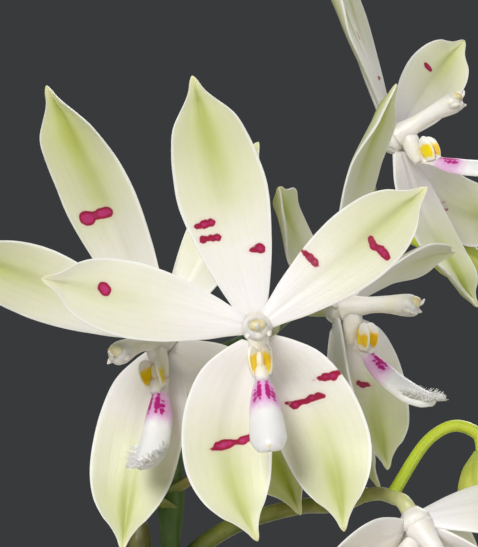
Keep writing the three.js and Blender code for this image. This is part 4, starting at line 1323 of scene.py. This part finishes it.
def bark():
    random.seed(12)
    noise.seed_set(12)
    kinds = [bark_chip(seed) for seed in (1.3, 4.7, 9.1, 13.9, 17.2)]
    chips = []
    for index in range(CHIP_COUNT):
        share = (index + 0.5) / CHIP_COUNT
        distance = CHIP_SPREAD * math.sqrt(share)
        angle = index * GOLDEN_ANGLE
        kind = kinds[index % len(kinds)]
        chip = twin(kind)
        size = CHIP_LENGTH * random.uniform(0.5, 1.0)
        if distance > 36:
            size *= 0.72
        turn = (Matrix.Rotation(random.uniform(0, math.pi), 4, "Z")
                @ Matrix.Rotation(random.uniform(-0.55, 0.55), 4, "X")
                @ Matrix.Rotation(random.uniform(-0.55, 0.55), 4, "Y"))
        height = BARK_TOP + random.uniform(-3.5, 3.5) + 1.5 * (1 - share)
        place = Vector((distance * math.cos(angle), distance * math.sin(angle), height))
        if distance < 13:
            place.z -= 3
        chip.data.transform(Matrix.Scale(MM, 4) @ Matrix.Translation(place) @ turn @ Matrix.Scale(size, 4))
        tone = chip.data.attributes.new("tone", "FLOAT", "POINT")
        tone.data.foreach_set("value", [random.random() ** 1.5] * len(chip.data.vertices))
        chip.data.materials.append(BARK)
        chips.append(chip)
    for kind in kinds:
        bpy.data.objects.remove(kind)

    def bed(turn, row):
        inner = BED_RADIUS * row / BED_ROWS
        angle = 2 * math.pi * turn
        rough = 1.6 * noise.noise(Vector((inner * math.cos(angle), inner * math.sin(angle), 5)) / 4)
        return Vector((inner * math.cos(angle), inner * math.sin(angle), BARK_TOP - 3.5 + rough))

    chips.append(skin("bed", BARK, 64, BED_ROWS, bed))
    piece = joined("bark_chips", chips)
    bpy.ops.object.shade_smooth_by_angle(angle=math.radians(40))
    dressed(piece, "bark", "bark")


def floor():
    deselect()
    bpy.ops.mesh.primitive_plane_add(size=4)
    plane = bpy.context.object
    plane.name = "floor"
    plane.data.materials.append(new_material("pale_floor", Roughness=0.7, Base_Color=paint("#D9D6D0"))[0])


def soft_light(name, place, aim, size, power, tint=(1, 1, 1)):
    data = bpy.data.lights.new(name, "AREA")
    data.shape = "DISK"
    data.size = size
    data.energy = power
    data.color = tint
    light = bpy.data.objects.new(name, data)
    bpy.context.collection.objects.link(light)
    light.location = place
    light.rotation_euler = (Vector(aim) - Vector(place)).to_track_quat("-Z", "Y").to_euler()


def studio():
    floor()
    soft_light("key", (-0.45, -0.95, 0.85), (0, 0, 0.2), 0.6, 12)
    soft_light("fill", (0.9, -0.7, 0.45), (0, 0, 0.2), 0.9, 4)
    soft_light("back", (0.35, 0.9, 0.9), (0, 0, 0.2), 0.8, 7)
    world = bpy.data.worlds.new("studio")
    world.use_nodes = True
    world.node_tree.nodes["Background"].inputs["Color"].default_value = (0.04, 0.042, 0.045, 1)
    world.node_tree.nodes["Background"].inputs["Strength"].default_value = 1.0
    bpy.context.scene.world = world
    bpy.context.scene.view_settings.view_transform = "Standard"
    data = bpy.data.cameras.new("camera")
    data.lens = CAMERA_LENS
    data.sensor_fit = "VERTICAL"
    data.sensor_height = SENSOR
    data.clip_start = 0.01
    camera = bpy.data.objects.new("camera", data)
    bpy.context.collection.objects.link(camera)
    camera.location = Vector(CAMERA_PLACE) * MM
    camera.rotation_euler = (math.pi / 2, 0, 0)
    bpy.context.scene.camera = camera


studio()
clay_pot()
bark()
stem()
for number, entry in enumerate(ROOTS, 1):
    root(entry, number)
for number, entry in enumerate(LEAVES, 1):
    leaf(entry, number)
flower_stalks()
for number, entry in enumerate(BUDS, 1):
    bud(entry, number)
hair = lip_hair()
for number, bloom in enumerate(BLOOMS, 1):
    bloom_tepals(bloom, number)
    bloom_column(bloom, number)
    bloom_lip(bloom, number, hair)
bpy.data.objects.remove(hair)
